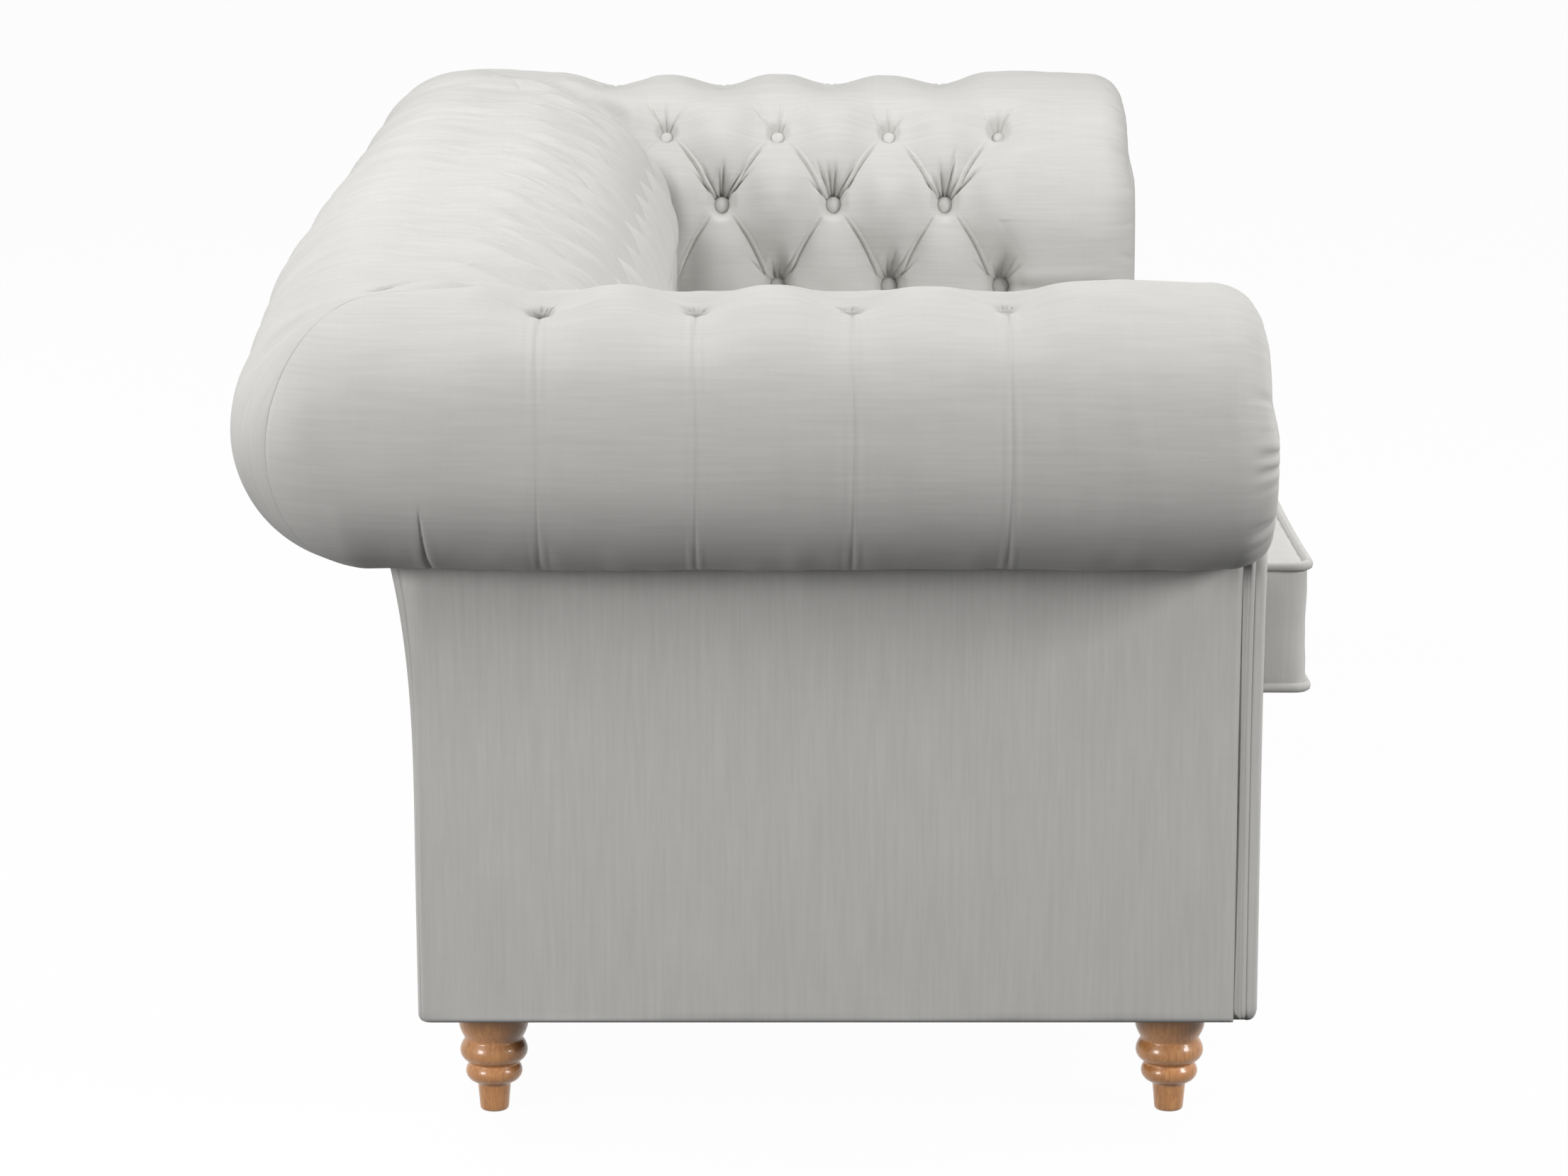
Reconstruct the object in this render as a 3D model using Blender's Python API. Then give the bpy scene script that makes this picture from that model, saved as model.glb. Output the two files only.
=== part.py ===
"""Three-seat chesterfield sofa.

Rolled arms and a rolled back of one height, deep-buttoned in diamonds, three loose boxed seat
cushions, four turned legs, and the timber frame, springs and foam that carry them.
Length runs along X, the front faces -Y and the floor is Z = 0. Right means +X.
"""
import math

import bmesh
import bpy
from mathutils import Vector

for stale in list(bpy.data.objects):
    bpy.data.objects.remove(stale, do_unlink=True)

# Outside sizes in metres.
SOFA_WIDTH = 2.200
SOFA_DEPTH = 0.976
SOFA_HEIGHT = 0.765
LEG_HEIGHT = 0.100

# Scroll section shared by arms and back. Runs are measured from the roll axis towards the seat.
ROLL_RADIUS = 0.120
CROWN_RUN = 0.055
SHOULDER_RADIUS = 0.178
PANEL_RUN = 0.033
PANEL_FLARE = 0.021
PANEL_BEND_Z = 0.260

# Layers of the upholstery and the timber.
FIT = 0.0003
CURVE_FIT = 0.0020
COVER_DEPTH = 0.040
FOAM_DEPTH = 0.035
PANEL_THICK = 0.008
FACING_THICK = 0.020
BORDER_THICK = 0.014
RAIL_THICK = 0.025
TOP_RAIL_SIZE = 0.050
DUST_THICK = 0.002

# Deep buttoning.
BUTTON_PITCH = 0.135
ROW_PLACES = (-0.045, 0.126, 0.231, 0.339)
BUTTON_DEPTH = 0.030
BUTTON_RADIUS = 0.0105
BUTTON_RISE = 0.009
BUTTON_PULL = 0.030
PLEAT_DEPTH = 0.017
ROLL_PLEAT = 0.006
CORNER_BUTTON = 0.156
FRONT_CLEAR = 0.130
MITRE_DEPTH = 0.010
EDGE_ROUND = 0.042
EDGE_DROP = 0.034

# Seat.
SEAT_Z = 0.357
DECK_THICK = 0.020
CUSHION_COUNT = 3
CUSHION_OVERHANG = 0.070
CUSHION_SIDE_GAP = 0.001
CUSHION_BOXING = 0.121
CUSHION_CROWN = 0.027
CUSHION_CORNER = 0.028
CUSHION_WALL = 0.014
PIPING_RADIUS = 0.005
ZIP_LENGTH_SHARE = 0.80
ZIP_OPENING = 0.008

# Frame members.
BASE_RAIL_HEIGHT = 0.140
FRONT_RAIL_TOP = 0.325
TUCK_RAIL_HEIGHT = 0.060
TUCK_RAIL_THICK = 0.037
CROSS_RAIL_HEIGHT = 0.080
CROSS_RAIL_SHARE = 0.33
BLOCK_LENGTH = 0.085
BLOCK_HEIGHT = 0.070
REAR_BOARD_SETBACK = 0.210
BACK_BOARD_SHARE = 0.61
SPRING_COUNT = 8
SPRING_WAVES = 8
SPRING_SWING = 0.024
SPRING_WIRE = 0.0019
SPRING_RISE = 0.005

# Legs.
LEG_SIDE_INSET = 0.070
LEG_FRONT_INSET = 0.072
LEG_REAR_INSET = 0.064
LEG_TOP_RADIUS = 0.0319
LEG_FOOT_RADIUS = 0.0132
BOLT_RADIUS = 0.004
BOLT_IN_LEG = 0.035
NUT_RADIUS = 0.010
NUT_HEIGHT = 0.006

# Positions that follow from the sizes above.
ARM_X = SOFA_WIDTH / 2 - ROLL_RADIUS
BACK_Y = SOFA_DEPTH / 2 - ROLL_RADIUS
ROLL_Z = SOFA_HEIGHT - ROLL_RADIUS
SHOULDER_Z = SOFA_HEIGHT - SHOULDER_RADIUS
INNER_RUN = CROWN_RUN + SHOULDER_RADIUS
NOSE_Y = -SOFA_DEPTH / 2
ARM_FRONT = NOSE_Y + CUSHION_OVERHANG
BOARD_FRONT = ARM_FRONT + FACING_THICK + FIT
BOARD_REAR = BOARD_FRONT + RAIL_THICK
FRAME_RUN = PANEL_RUN + PANEL_THICK + FIT
FRAME_INSET = COVER_DEPTH + FOAM_DEPTH + FIT + CURVE_FIT
FRAME_INNER = INNER_RUN - FRAME_INSET
TUCK_RUN = FRAME_INNER - TUCK_RAIL_THICK
BASE_Z = LEG_HEIGHT + DUST_THICK + FIT
BASE_TOP = BASE_Z + BASE_RAIL_HEIGHT
PANEL_TOP_Z = ROLL_Z - ROLL_RADIUS + 0.012
PANEL_TOP_RUN = PANEL_RUN - PANEL_FLARE
UNDER_TURN = math.pi + math.asin((PANEL_TOP_RUN - FIT) / ROLL_RADIUS)
LEG_X = ARM_X - PANEL_RUN - LEG_SIDE_INSET
LEG_FRONT_Y = ARM_FRONT + LEG_FRONT_INSET
LEG_REAR_Y = BACK_Y - PANEL_RUN - LEG_REAR_INSET
CROSS_RAIL_X = CROSS_RAIL_SHARE * ARM_X
BACK_BOARD_X = BACK_BOARD_SHARE * ARM_X


def material(name, color, roughness, metallic=0.0):
    mat = bpy.data.materials.new(name)
    mat.use_nodes = True
    shader = mat.node_tree.nodes["Principled BSDF"]
    shader.inputs["Base Color"].default_value = (*color, 1.0)
    shader.inputs["Roughness"].default_value = roughness
    shader.inputs["Metallic"].default_value = metallic
    mat.diffuse_color = (*color, 1.0)
    return mat


LINEN = material("grey_linen", (0.44, 0.43, 0.41), 0.9)
FOAM = material("upholstery_foam", (0.80, 0.73, 0.52), 0.95)
TIMBER = material("frame_timber", (0.60, 0.42, 0.24), 0.7)
BEECH = material("lacquered_beech", (0.30, 0.15, 0.06), 0.3)
STEEL = material("zinc_steel", (0.62, 0.62, 0.60), 0.4, 1.0)
SPRING = material("spring_steel", (0.16, 0.16, 0.17), 0.45, 1.0)
CAMBRIC = material("black_cambric", (0.03, 0.03, 0.03), 0.95)
PLATFORM = material("platform_cloth", (0.34, 0.33, 0.31), 0.95)


class Skin:
    """Collects welded points and faces; faces that collapse to a line are left out."""

    def __init__(self):
        self.points = []
        self.index = {}
        self.faces = []

    def add(self, point):
        key = tuple(round(value, 6) for value in point)
        if key not in self.index:
            self.index[key] = len(self.points)
            self.points.append(point)
        return self.index[key]

    def face(self, *points):
        ids = [self.add(point) for point in points]
        ring = [i for n, i in enumerate(ids) if i != ids[n - 1]]
        if len(ring) >= 3 and len(set(ring)) == len(ring):
            self.faces.append(ring)

    def grid(self, rows):
        for low, high in zip(rows, rows[1:]):
            for n in range(len(low) - 1):
                self.face(low[n], low[n + 1], high[n + 1], high[n])

    def folded(self, rows, depths):
        """A grid in triangles, each cell split along its deeper diagonal so that folds stay lines."""
        for j in range(len(rows) - 1):
            for n in range(len(rows[j]) - 1):
                a, b, c, d = rows[j][n], rows[j][n + 1], rows[j + 1][n + 1], rows[j + 1][n]
                rising = depths[j][n] + depths[j + 1][n + 1]
                falling = depths[j][n + 1] + depths[j + 1][n]
                if rising >= falling:
                    self.face(a, b, c)
                    self.face(a, c, d)
                else:
                    self.face(a, b, d)
                    self.face(b, c, d)

    def band(self, first, second):
        """Triangles between two lines of points that run the same way."""
        spans = []
        for line in (first, second):
            total = [0.0]
            for here, there in zip(line, line[1:]):
                total.append(total[-1] + math.dist(here, there))
            spans.append([value / total[-1] for value in total])
        i = j = 0
        while i < len(first) - 1 or j < len(second) - 1:
            step_first = j == len(second) - 1
            if not step_first and i < len(first) - 1:
                step_first = spans[0][i + 1] <= spans[1][j + 1] + 1e-9
            if step_first:
                self.face(first[i], first[i + 1], second[j])
                i += 1
            else:
                self.face(first[i], second[j + 1], second[j])
                j += 1

    def build(self, name, mat, mirror=False):
        flip = -1.0 if mirror else 1.0
        mesh = bpy.data.meshes.new(name)
        mesh.from_pydata([(flip * x, y, z) for x, y, z in self.points], [], self.faces)
        work = bmesh.new()
        work.from_mesh(mesh)
        bmesh.ops.recalc_face_normals(work, faces=work.faces)
        work.to_mesh(mesh)
        work.free()
        mesh.materials.append(mat)
        part = bpy.data.objects.new(name, mesh)
        bpy.context.scene.collection.objects.link(part)
        return part


def box(name, mat, low, high):
    skin = Skin()
    rings = []
    for z in (low[2], high[2]):
        rings.append([(low[0], low[1], z), (high[0], low[1], z), (high[0], high[1], z), (low[0], high[1], z)])
    skin.grid([ring + ring[:1] for ring in rings])
    skin.face(*rings[0])
    skin.face(*rings[1])
    return skin.build(name, mat)


def sided_box(name, mat, low, high, side):
    """A box given for the right side, mirrored to the left where side is -1."""
    xs = sorted((side * low[0], side * high[0]))
    return box(name, mat, (xs[0], low[1], low[2]), (xs[1], high[1], high[2]))


def prism(name, mat, near, far, mirror=False):
    skin = Skin()
    skin.grid([near + near[:1], far + far[:1]])
    skin.face(*near)
    skin.face(*far)
    return skin.build(name, mat, mirror)


def lathe(name, mat, profile, center, sides, turn=0.0):
    """Turns a (radius, z) profile that starts and ends on the axis."""
    skin = Skin()
    rings = []
    for radius, z in profile:
        ring = []
        for n in range(sides + 1):
            angle = turn + 2 * math.pi * (n % sides) / sides
            ring.append((center[0] + radius * math.cos(angle), center[1] + radius * math.sin(angle), z))
        rings.append(ring)
    skin.grid(rings)
    return skin.build(name, mat)


def cut(part, *tools):
    """Takes the tool solids out of the part and removes the tools."""
    for tool in tools:
        tool.hide_render = True
        tool.display_type = "WIRE"
        step = part.modifiers.new("cut", "BOOLEAN")
        step.operation = "DIFFERENCE"
        step.solver = "EXACT"
        step.object = tool
    graph = bpy.context.evaluated_depsgraph_get()
    mesh = bpy.data.meshes.new_from_object(part.evaluated_get(graph))
    part.modifiers.clear()
    part.data = mesh
    for tool in tools:
        bpy.data.objects.remove(tool, do_unlink=True)


def pin(center, radius, low, high, sides=12):
    profile = [(0.0, high), (radius, high), (radius, low), (0.0, low)]
    return lathe("cutter", TIMBER, profile, center, sides)


def smooth(low, high, value):
    share = min(max((value - low) / (high - low), 0.0), 1.0)
    return share * share * (3 - 2 * share)


def scroll(v):
    """Point (run, z) and outward normal at distance v from the crown line, positive to the seat."""
    if v < -CROWN_RUN:
        turn = (-v - CROWN_RUN) / ROLL_RADIUS
        out = (-math.sin(turn), math.cos(turn))
        return ROLL_RADIUS * out[0], ROLL_Z + ROLL_RADIUS * out[1], out
    if v <= 0.0:
        return CROWN_RUN + v, SOFA_HEIGHT, (0.0, 1.0)
    turn = v / SHOULDER_RADIUS
    if turn < math.pi / 2:
        out = (math.sin(turn), math.cos(turn))
        return CROWN_RUN + SHOULDER_RADIUS * out[0], SHOULDER_Z + SHOULDER_RADIUS * out[1], out
    return INNER_RUN, SHOULDER_Z - (v - SHOULDER_RADIUS * math.pi / 2), (1.0, 0.0)


def inset(v, depth):
    run, z, out = scroll(v)
    return run - depth * out[0], z - depth * out[1]


V_UNDER = -(CROWN_RUN + ROLL_RADIUS * UNDER_TURN)
V_SEAT = SHOULDER_RADIUS * math.pi / 2 + SHOULDER_Z - SEAT_Z - FIT


def scroll_steps(*counts):
    """Distances along the section, with lines on every button row; one count per stretch between them."""
    marks = (V_UNDER, *ROW_PLACES, V_SEAT)
    steps = [V_UNDER]
    for low, high, count in zip(marks, marks[1:], counts):
        steps += [low + (n + 1) * (high - low) / count for n in range(count)]
    return steps


def row_level(v):
    """Row number at a distance along the section, with fractions between the rows."""
    for n, (low, high) in enumerate(zip(ROW_PLACES, ROW_PLACES[1:])):
        if v <= high:
            return n + (v - low) / (high - low)
    return len(ROW_PLACES) - 1


# Each run of upholstery knows how to place a section point along its length.
class ArmRun:
    """The right arm. Stations run from the front to the corner, then half way round it."""

    corner = BACK_Y - FIT
    pitch = BUTTON_PITCH

    def place(self, station, run, z):
        kind, value = station[:2]
        if kind == "turn" and run < 0:
            return (ARM_X - run * math.cos(value), self.corner - run * math.sin(value), z)
        y = self.corner if kind == "turn" else value
        return (ARM_X - run, min(y, self.corner - max(run, 0.0)), z)

    def along(self, station):
        return (self.corner - station[1]) if station[0] == "line" else 0.0

    def column(self, station):
        return (self.along(station) - CORNER_BUTTON) / self.pitch

    def to_mitre(self, station, run):
        return self.along(station) - max(run, 0.0)

    def fade(self, station):
        length = self.corner - ARM_FRONT
        return 1 - smooth(length - FRONT_CLEAR - self.pitch, length - FRONT_CLEAR, self.along(station))

    def edge_drop(self, station):
        gap = (station[1] - ARM_FRONT - 0.004) if station[0] == "line" else 1.0
        if gap >= EDGE_ROUND:
            return 0.0
        rise = (EDGE_ROUND - gap) / EDGE_ROUND
        return EDGE_DROP * (1 - math.sqrt(max(1 - rise * rise, 0.0)))

    def buttons(self):
        spots = []
        for row, level in enumerate(ROW_PLACES):
            run = scroll(level)[0]
            count = int((self.corner - ARM_FRONT) / self.pitch) + 1
            for n in range(count):
                along = CORNER_BUTTON + (n + 0.5 * (row % 2)) * self.pitch
                if along - run > 0.02 and along < self.corner - ARM_FRONT - FRONT_CLEAR:
                    spots.append((along, level))
        return spots


class BackRun:
    """The back, from one corner to the other, with half a corner at each end."""

    corner = ARM_X - FIT
    gaps = round(2 * (ARM_X - CORNER_BUTTON) / BUTTON_PITCH)
    pitch = 2 * (ARM_X - CORNER_BUTTON) / gaps

    def place(self, station, run, z):
        kind, value = station[:2]
        if kind == "turn":
            side = station[2]
            if run < 0:
                return (side * (self.corner - run * math.sin(value)), BACK_Y - run * math.cos(value), z)
            return (side * (self.corner - run), BACK_Y - run, z)
        reach = self.corner - max(run, 0.0)
        return (min(max(value, -reach), reach), BACK_Y - run, z)

    def along(self, station):
        return station[1] if station[0] == "line" else station[2] * self.corner

    def column(self, station):
        return self.along(station) / self.pitch + 0.5 * (self.gaps % 2)

    def to_mitre(self, station, run):
        return self.corner - max(run, 0.0) - abs(self.along(station))

    def fade(self, station):
        return 1.0

    def edge_drop(self, station):
        return 0.0

    def buttons(self):
        spots = []
        for row, level in enumerate(ROW_PLACES):
            run = scroll(level)[0]
            for n in range(-self.gaps, self.gaps + 1):
                along = (n + 0.5 * ((row + self.gaps) % 2)) * self.pitch
                if self.corner - run - abs(along) > 0.02:
                    spots.append((along, level))
        return spots


def sink(run_of, station, v, spots):
    """How far the buttoned surface lies below its envelope."""
    column = run_of.column(station)
    along = run_of.along(station)
    if v < ROW_PLACES[0]:
        depth = ROLL_PLEAT * (1 - abs(math.sin(math.pi * column)))
    else:
        level = row_level(v) / 2
        ridge = abs(math.sin(math.pi * (column + level)) * math.sin(math.pi * (column - level)))
        pleat = ROLL_PLEAT + (PLEAT_DEPTH - ROLL_PLEAT) * smooth(ROW_PLACES[0], ROW_PLACES[1], v)
        depth = pleat * (1 - math.sqrt(ridge)) * (1 - 0.6 * smooth(ROW_PLACES[-1], V_SEAT, v))
    depth *= run_of.fade(station)
    for spot_along, spot_v in spots:
        reach = math.hypot(along - spot_along, v - spot_v) / BUTTON_PULL
        if reach < 2:
            depth = max(depth, BUTTON_DEPTH * math.exp(-reach * reach))
    run = scroll(v)[0]
    share = smooth(0.0, 0.055, run_of.to_mitre(station, run)) if run > 0 else 1.0
    valley = MITRE_DEPTH * smooth(-CROWN_RUN, 0.05, v)
    return share * depth + (1 - share) * valley


def padded_run(name, mat, run_of, stations, plain, steps, outer, inner, buttoned, mirror=False):
    """One closed layer of upholstery between two depths below the section."""
    spots = run_of.buttons() if buttoned else []
    skin = Skin()
    outside = []
    inside = []
    sunk = []
    pressed = []
    for v in steps:
        depths = [0.0] * len(stations)
        if buttoned:
            depths = [run_of.edge_drop(station) + sink(run_of, station, v, spots) for station in stations]
        line = [run_of.place(station, *inset(v, outer + depth)) for station, depth in zip(stations, depths)]
        for station, point in zip(stations, line):
            for along, spot_v in spots:
                if abs(run_of.along(station) - along) + abs(v - spot_v) < 1e-4:
                    pressed.append(point)
        outside.append(line)
        sunk.append(depths)
        inside.append([run_of.place(station, *inset(v, inner)) for station in plain])
    skin.folded(outside, sunk)
    skin.grid(inside)
    skin.band(unique(outside[0]), unique(inside[0]))
    skin.band(unique(outside[-1]), unique(inside[-1]))
    for end in (0, -1):
        skin.grid([[line[end] for line in outside], [line[end] for line in inside]])
    part = skin.build(name, mat, mirror)
    if pressed:
        raise_buttons(part, [(-x if mirror else x, y, z) for x, y, z in pressed])
    return part


def raise_buttons(part, centers):
    """Turns the surface point at each centre into a covered button."""
    work = bmesh.new()
    work.from_mesh(part.data)
    picked = []
    for center in centers:
        spot = Vector(center)
        picked.append(min(work.verts, key=lambda vert: (vert.co - spot).length_squared))
    outward = [(vert.co.copy(), vert.normal.copy()) for vert in picked]
    rings = bmesh.ops.bevel(work, geom=picked, offset=BUTTON_RADIUS, offset_type="OFFSET", segments=1,
                            profile=0.5, affect="VERTICES", clamp_overlap=True)
    caps = [face for face in rings["faces"] if len(face.verts) > 4]
    raised = bmesh.ops.extrude_discrete_faces(work, faces=caps)["faces"]
    for face in raised:
        middle = face.calc_center_median()
        center, normal = min(outward, key=lambda item: (item[0] - middle).length_squared)
        for vert in face.verts:
            spread = vert.co - center
            spread -= normal * spread.dot(normal)
            spread.normalize()
            vert.co = center + normal * BUTTON_RISE + spread * BUTTON_RADIUS
    work.to_mesh(part.data)
    work.free()


def unique(line):
    """The line without repeated points."""
    kept = line[:1]
    for point in line[1:]:
        if math.dist(point, kept[-1]) > 1e-6:
            kept.append(point)
    return kept


ARM = ArmRun()
BACK = BackRun()
CORNER_STEPS = 3
ARM_TURN = [("turn", (n + 1) * math.pi / 4 / CORNER_STEPS) for n in range(CORNER_STEPS)]
EDGE_STEPS = (0.004, 0.009, 0.020, 0.046)

arm_lines = [ARM_FRONT + step for step in EDGE_STEPS]
quarter = ARM.pitch / 4
first_line = ARM.corner - CORNER_BUTTON + quarter * int(CORNER_BUTTON / quarter - 0.3)
while first_line > arm_lines[3] + quarter / 2:
    arm_lines.append(first_line)
    first_line -= quarter
ARM_STATIONS = [("line", y) for y in sorted(arm_lines) + [ARM.corner]] + ARM_TURN
ARM_PLAIN = [("line", arm_lines[0]), ("line", ARM.corner)] + ARM_TURN

half_lines = int((BACK.corner - 0.01) / (BACK.pitch / 4))
back_lines = [n * BACK.pitch / 4 for n in range(-half_lines, half_lines + 1)]


def back_stations(lines):
    left = [("turn", turn[1], -1.0) for turn in reversed(ARM_TURN)]
    right = [("turn", turn[1], 1.0) for turn in ARM_TURN]
    return left + [("line", x) for x in [-BACK.corner] + lines + [BACK.corner]] + right


SECTION_STEPS = scroll_steps(10, 3, 2, 2, 2)
FOAM_TOP = COVER_DEPTH + FIT
FOAM_BOTTOM = COVER_DEPTH + FIT + FOAM_DEPTH
FOAM_STATIONS = [("line", BOARD_FRONT), ("line", ARM.corner)] + ARM_TURN

padded_run("back_cover", LINEN, BACK, back_stations(back_lines), back_stations([]),
           SECTION_STEPS, 0.0, COVER_DEPTH, True)
padded_run("back_foam", FOAM, BACK, back_stations([]), back_stations([]),
           SECTION_STEPS, FOAM_TOP, FOAM_BOTTOM, False)

# Outside panels follow one line in section, upright below and flared out under the roll.
PANEL_LEVELS = [LEG_HEIGHT, PANEL_BEND_Z] + [
    PANEL_BEND_Z + (PANEL_TOP_Z - PANEL_BEND_Z) * n / 5 for n in range(1, 6)]


def panel_run(z):
    share = max((z - PANEL_BEND_Z) / (ROLL_Z - ROLL_RADIUS - PANEL_BEND_Z), 0.0)
    return PANEL_RUN - PANEL_FLARE * min(share, 1.0) ** 3


def outside_panel(name, corners, mirror=False):
    """A panel of even thickness; corners gives its four plan points at one run."""
    skin = Skin()
    rings = []
    for z in PANEL_LEVELS:
        rings.append([(x, y, z) for x, y in corners(panel_run(z), panel_run(z) + PANEL_THICK)])
    skin.grid([ring + ring[:1] for ring in rings])
    skin.face(*rings[0])
    skin.face(*rings[-1])
    return skin.build(name, LINEN, mirror)


def arm_panel_plan(outer, inner):
    return [(ARM_X - outer, BOARD_FRONT), (ARM_X - outer, ARM.corner - outer),
            (ARM_X - inner, ARM.corner - inner), (ARM_X - inner, BOARD_FRONT)]


def back_panel_plan(outer, inner):
    return [(-BACK.corner + outer, BACK_Y - outer), (BACK.corner - outer, BACK_Y - outer),
            (BACK.corner - inner, BACK_Y - inner), (-BACK.corner + inner, BACK_Y - inner)]


outside_panel("outside_back_panel", back_panel_plan)


def board_outline(foot_z, notched, depth):
    """Scroll-shaped board in (run, z), with an open seat for the top rail where notched."""
    radius = ROLL_RADIUS - depth
    start = math.pi + math.asin(FRAME_RUN / radius)
    outline = [(FRAME_RUN, foot_z)]
    half = TOP_RAIL_SIZE / 2 + FIT
    stop = math.pi - math.acos(half / radius) if notched else 0.0
    turns = 7
    for n in range(turns + 1):
        turn = start + (stop - start) * n / turns
        outline.append((-radius * math.sin(turn), ROLL_Z + radius * math.cos(turn)))
    if notched:
        outline += [(half, ROLL_Z - half), (half, SOFA_HEIGHT - depth)]
    outline.append((CROWN_RUN, SOFA_HEIGHT - depth))
    for n in range(1, 6):
        outline.append(inset(SHOULDER_RADIUS * math.pi / 10 * n, depth))
    if notched:
        shelf = FRONT_RAIL_TOP + FIT
        outline += [(FRAME_INNER, shelf), (TUCK_RUN - FIT, shelf), (TUCK_RUN - FIT, foot_z)]
    else:
        outline.append((FRAME_INNER, foot_z))
    return outline


def facing_outline():
    """Scroll-shaped front of the arm in (run, z), level with the outside panel below the roll."""
    depth = COVER_DEPTH + CURVE_FIT
    radius = ROLL_RADIUS - depth
    start = math.pi + math.asin(PANEL_TOP_RUN / radius)
    outline = [(panel_run(z), z) for z in PANEL_LEVELS]
    for n in range(11):
        turn = start * (1 - n / 10)
        outline.append((-radius * math.sin(turn), ROLL_Z + radius * math.cos(turn)))
    outline.append((CROWN_RUN, SOFA_HEIGHT - depth))
    for n in range(1, 7):
        outline.append(inset(SHOULDER_RADIUS * math.pi / 12 * n, depth))
    outline.append((INNER_RUN - depth, LEG_HEIGHT))
    return outline


def in_arm(outline, y):
    return [(ARM_X - run, y, z) for run, z in outline]


def in_back(outline, x):
    return [(x, BACK_Y - run, z) for run, z in outline]


def shrink(outline, amount):
    """The closed outline moved inwards, corner by corner."""
    count = len(outline)
    area = sum(outline[n - 1][0] * outline[n][1] - outline[n][0] * outline[n - 1][1] for n in range(count))
    sign = 1.0 if area > 0 else -1.0
    moved = []
    for n in range(count):
        before, here, after = outline[n - 1], outline[n], outline[(n + 1) % count]
        normals = []
        for low, high in ((before, here), (here, after)):
            length = math.dist(low, high)
            normals.append((-sign * (high[1] - low[1]) / length, sign * (high[0] - low[0]) / length))
        share = 1 + normals[0][0] * normals[1][0] + normals[0][1] * normals[1][1]
        moved.append((here[0] + amount * (normals[0][0] + normals[1][0]) / share,
                      here[1] + amount * (normals[0][1] + normals[1][1]) / share))
    return moved


NOTCHED = board_outline(BASE_TOP + FIT, True, FRAME_INSET)
FRONT_SHAPE = board_outline(BASE_Z, False, FRAME_INSET)
FACING_SHAPE = facing_outline()
FACING_LEVELS = ((0.0, 0.010), (0.002, 0.0), (0.008, 0.0), (0.010, 0.003), (FACING_THICK, 0.003))
REAR_BOARD_Y = BACK_Y - REAR_BOARD_SETBACK

for side, hand in ((1.0, "right"), (-1.0, "left")):
    mirrored = side < 0
    padded_run("arm_cover_" + hand, LINEN, ARM, ARM_STATIONS, ARM_PLAIN,
               SECTION_STEPS, 0.0, COVER_DEPTH, True, mirrored)
    padded_run("arm_foam_" + hand, FOAM, ARM, FOAM_STATIONS, FOAM_STATIONS,
               SECTION_STEPS, FOAM_TOP, FOAM_BOTTOM, False, mirrored)
    outside_panel("outside_arm_panel_" + hand, arm_panel_plan, mirrored)
    facing = Skin()
    loops = [in_arm(shrink(FACING_SHAPE, drop), ARM_FRONT + step) for step, drop in FACING_LEVELS]
    facing.grid([loop + loop[:1] for loop in loops])
    facing.face(*loops[0])
    facing.face(*loops[-1])
    facing.build("arm_facing_" + hand, LINEN, mirrored)
    prism("arm_front_board_" + hand, TIMBER, in_arm(FRONT_SHAPE, BOARD_FRONT),
          in_arm(FRONT_SHAPE, BOARD_REAR), mirrored)
    prism("arm_rear_board_" + hand, TIMBER, in_arm(NOTCHED, REAR_BOARD_Y),
          in_arm(NOTCHED, REAR_BOARD_Y + RAIL_THICK), mirrored)
    half_rail = TOP_RAIL_SIZE / 2
    sided_box("arm_top_rail_" + hand, TIMBER, (ARM_X - half_rail, BOARD_REAR + FIT, ROLL_Z - half_rail),
              (ARM_X + half_rail, BACK_Y + half_rail, ROLL_Z + half_rail), side)
    sided_box("arm_tuck_rail_" + hand, TIMBER,
              (ARM_X - FRAME_INNER, BOARD_REAR + FIT, FRONT_RAIL_TOP - TUCK_RAIL_HEIGHT),
              (ARM_X - TUCK_RUN, BACK_Y - FRAME_INNER - FIT, FRONT_RAIL_TOP), side)
    sided_box("side_rail_" + hand, TIMBER, (ARM_X - FRAME_RUN - RAIL_THICK, BOARD_REAR + FIT, BASE_Z),
              (ARM_X - FRAME_RUN, BACK_Y - FRAME_RUN, BASE_TOP), side)
    sided_box("cross_rail_" + hand, TIMBER, (CROSS_RAIL_X - RAIL_THICK / 2, BOARD_REAR + FIT, BASE_Z),
              (CROSS_RAIL_X + RAIL_THICK / 2, BACK_Y - FRAME_RUN - RAIL_THICK - FIT,
               BASE_Z + CROSS_RAIL_HEIGHT), side)

# Back frame and the rails across the sofa.
for x, spot in ((-BACK_BOARD_X, "left"), (0.0, "middle"), (BACK_BOARD_X, "right")):
    prism("back_board_" + spot, TIMBER, in_back(NOTCHED, x - RAIL_THICK / 2),
          in_back(NOTCHED, x + RAIL_THICK / 2))
rail_reach = ARM_X - TOP_RAIL_SIZE / 2 - FIT
box("back_top_rail", TIMBER, (-rail_reach, BACK_Y - TOP_RAIL_SIZE / 2, ROLL_Z - TOP_RAIL_SIZE / 2),
    (rail_reach, BACK_Y + TOP_RAIL_SIZE / 2, ROLL_Z + TOP_RAIL_SIZE / 2))
box("seat_back_rail", TIMBER, (-(ARM_X - TUCK_RUN), BACK_Y - FRAME_INNER, FRONT_RAIL_TOP - TUCK_RAIL_HEIGHT),
    (ARM_X - TUCK_RUN, BACK_Y - TUCK_RUN, FRONT_RAIL_TOP))
base_reach = ARM_X - FRAME_RUN - RAIL_THICK - FIT
box("back_rail", TIMBER, (-base_reach, BACK_Y - FRAME_RUN - RAIL_THICK, BASE_Z),
    (base_reach, BACK_Y - FRAME_RUN, BASE_TOP))
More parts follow.
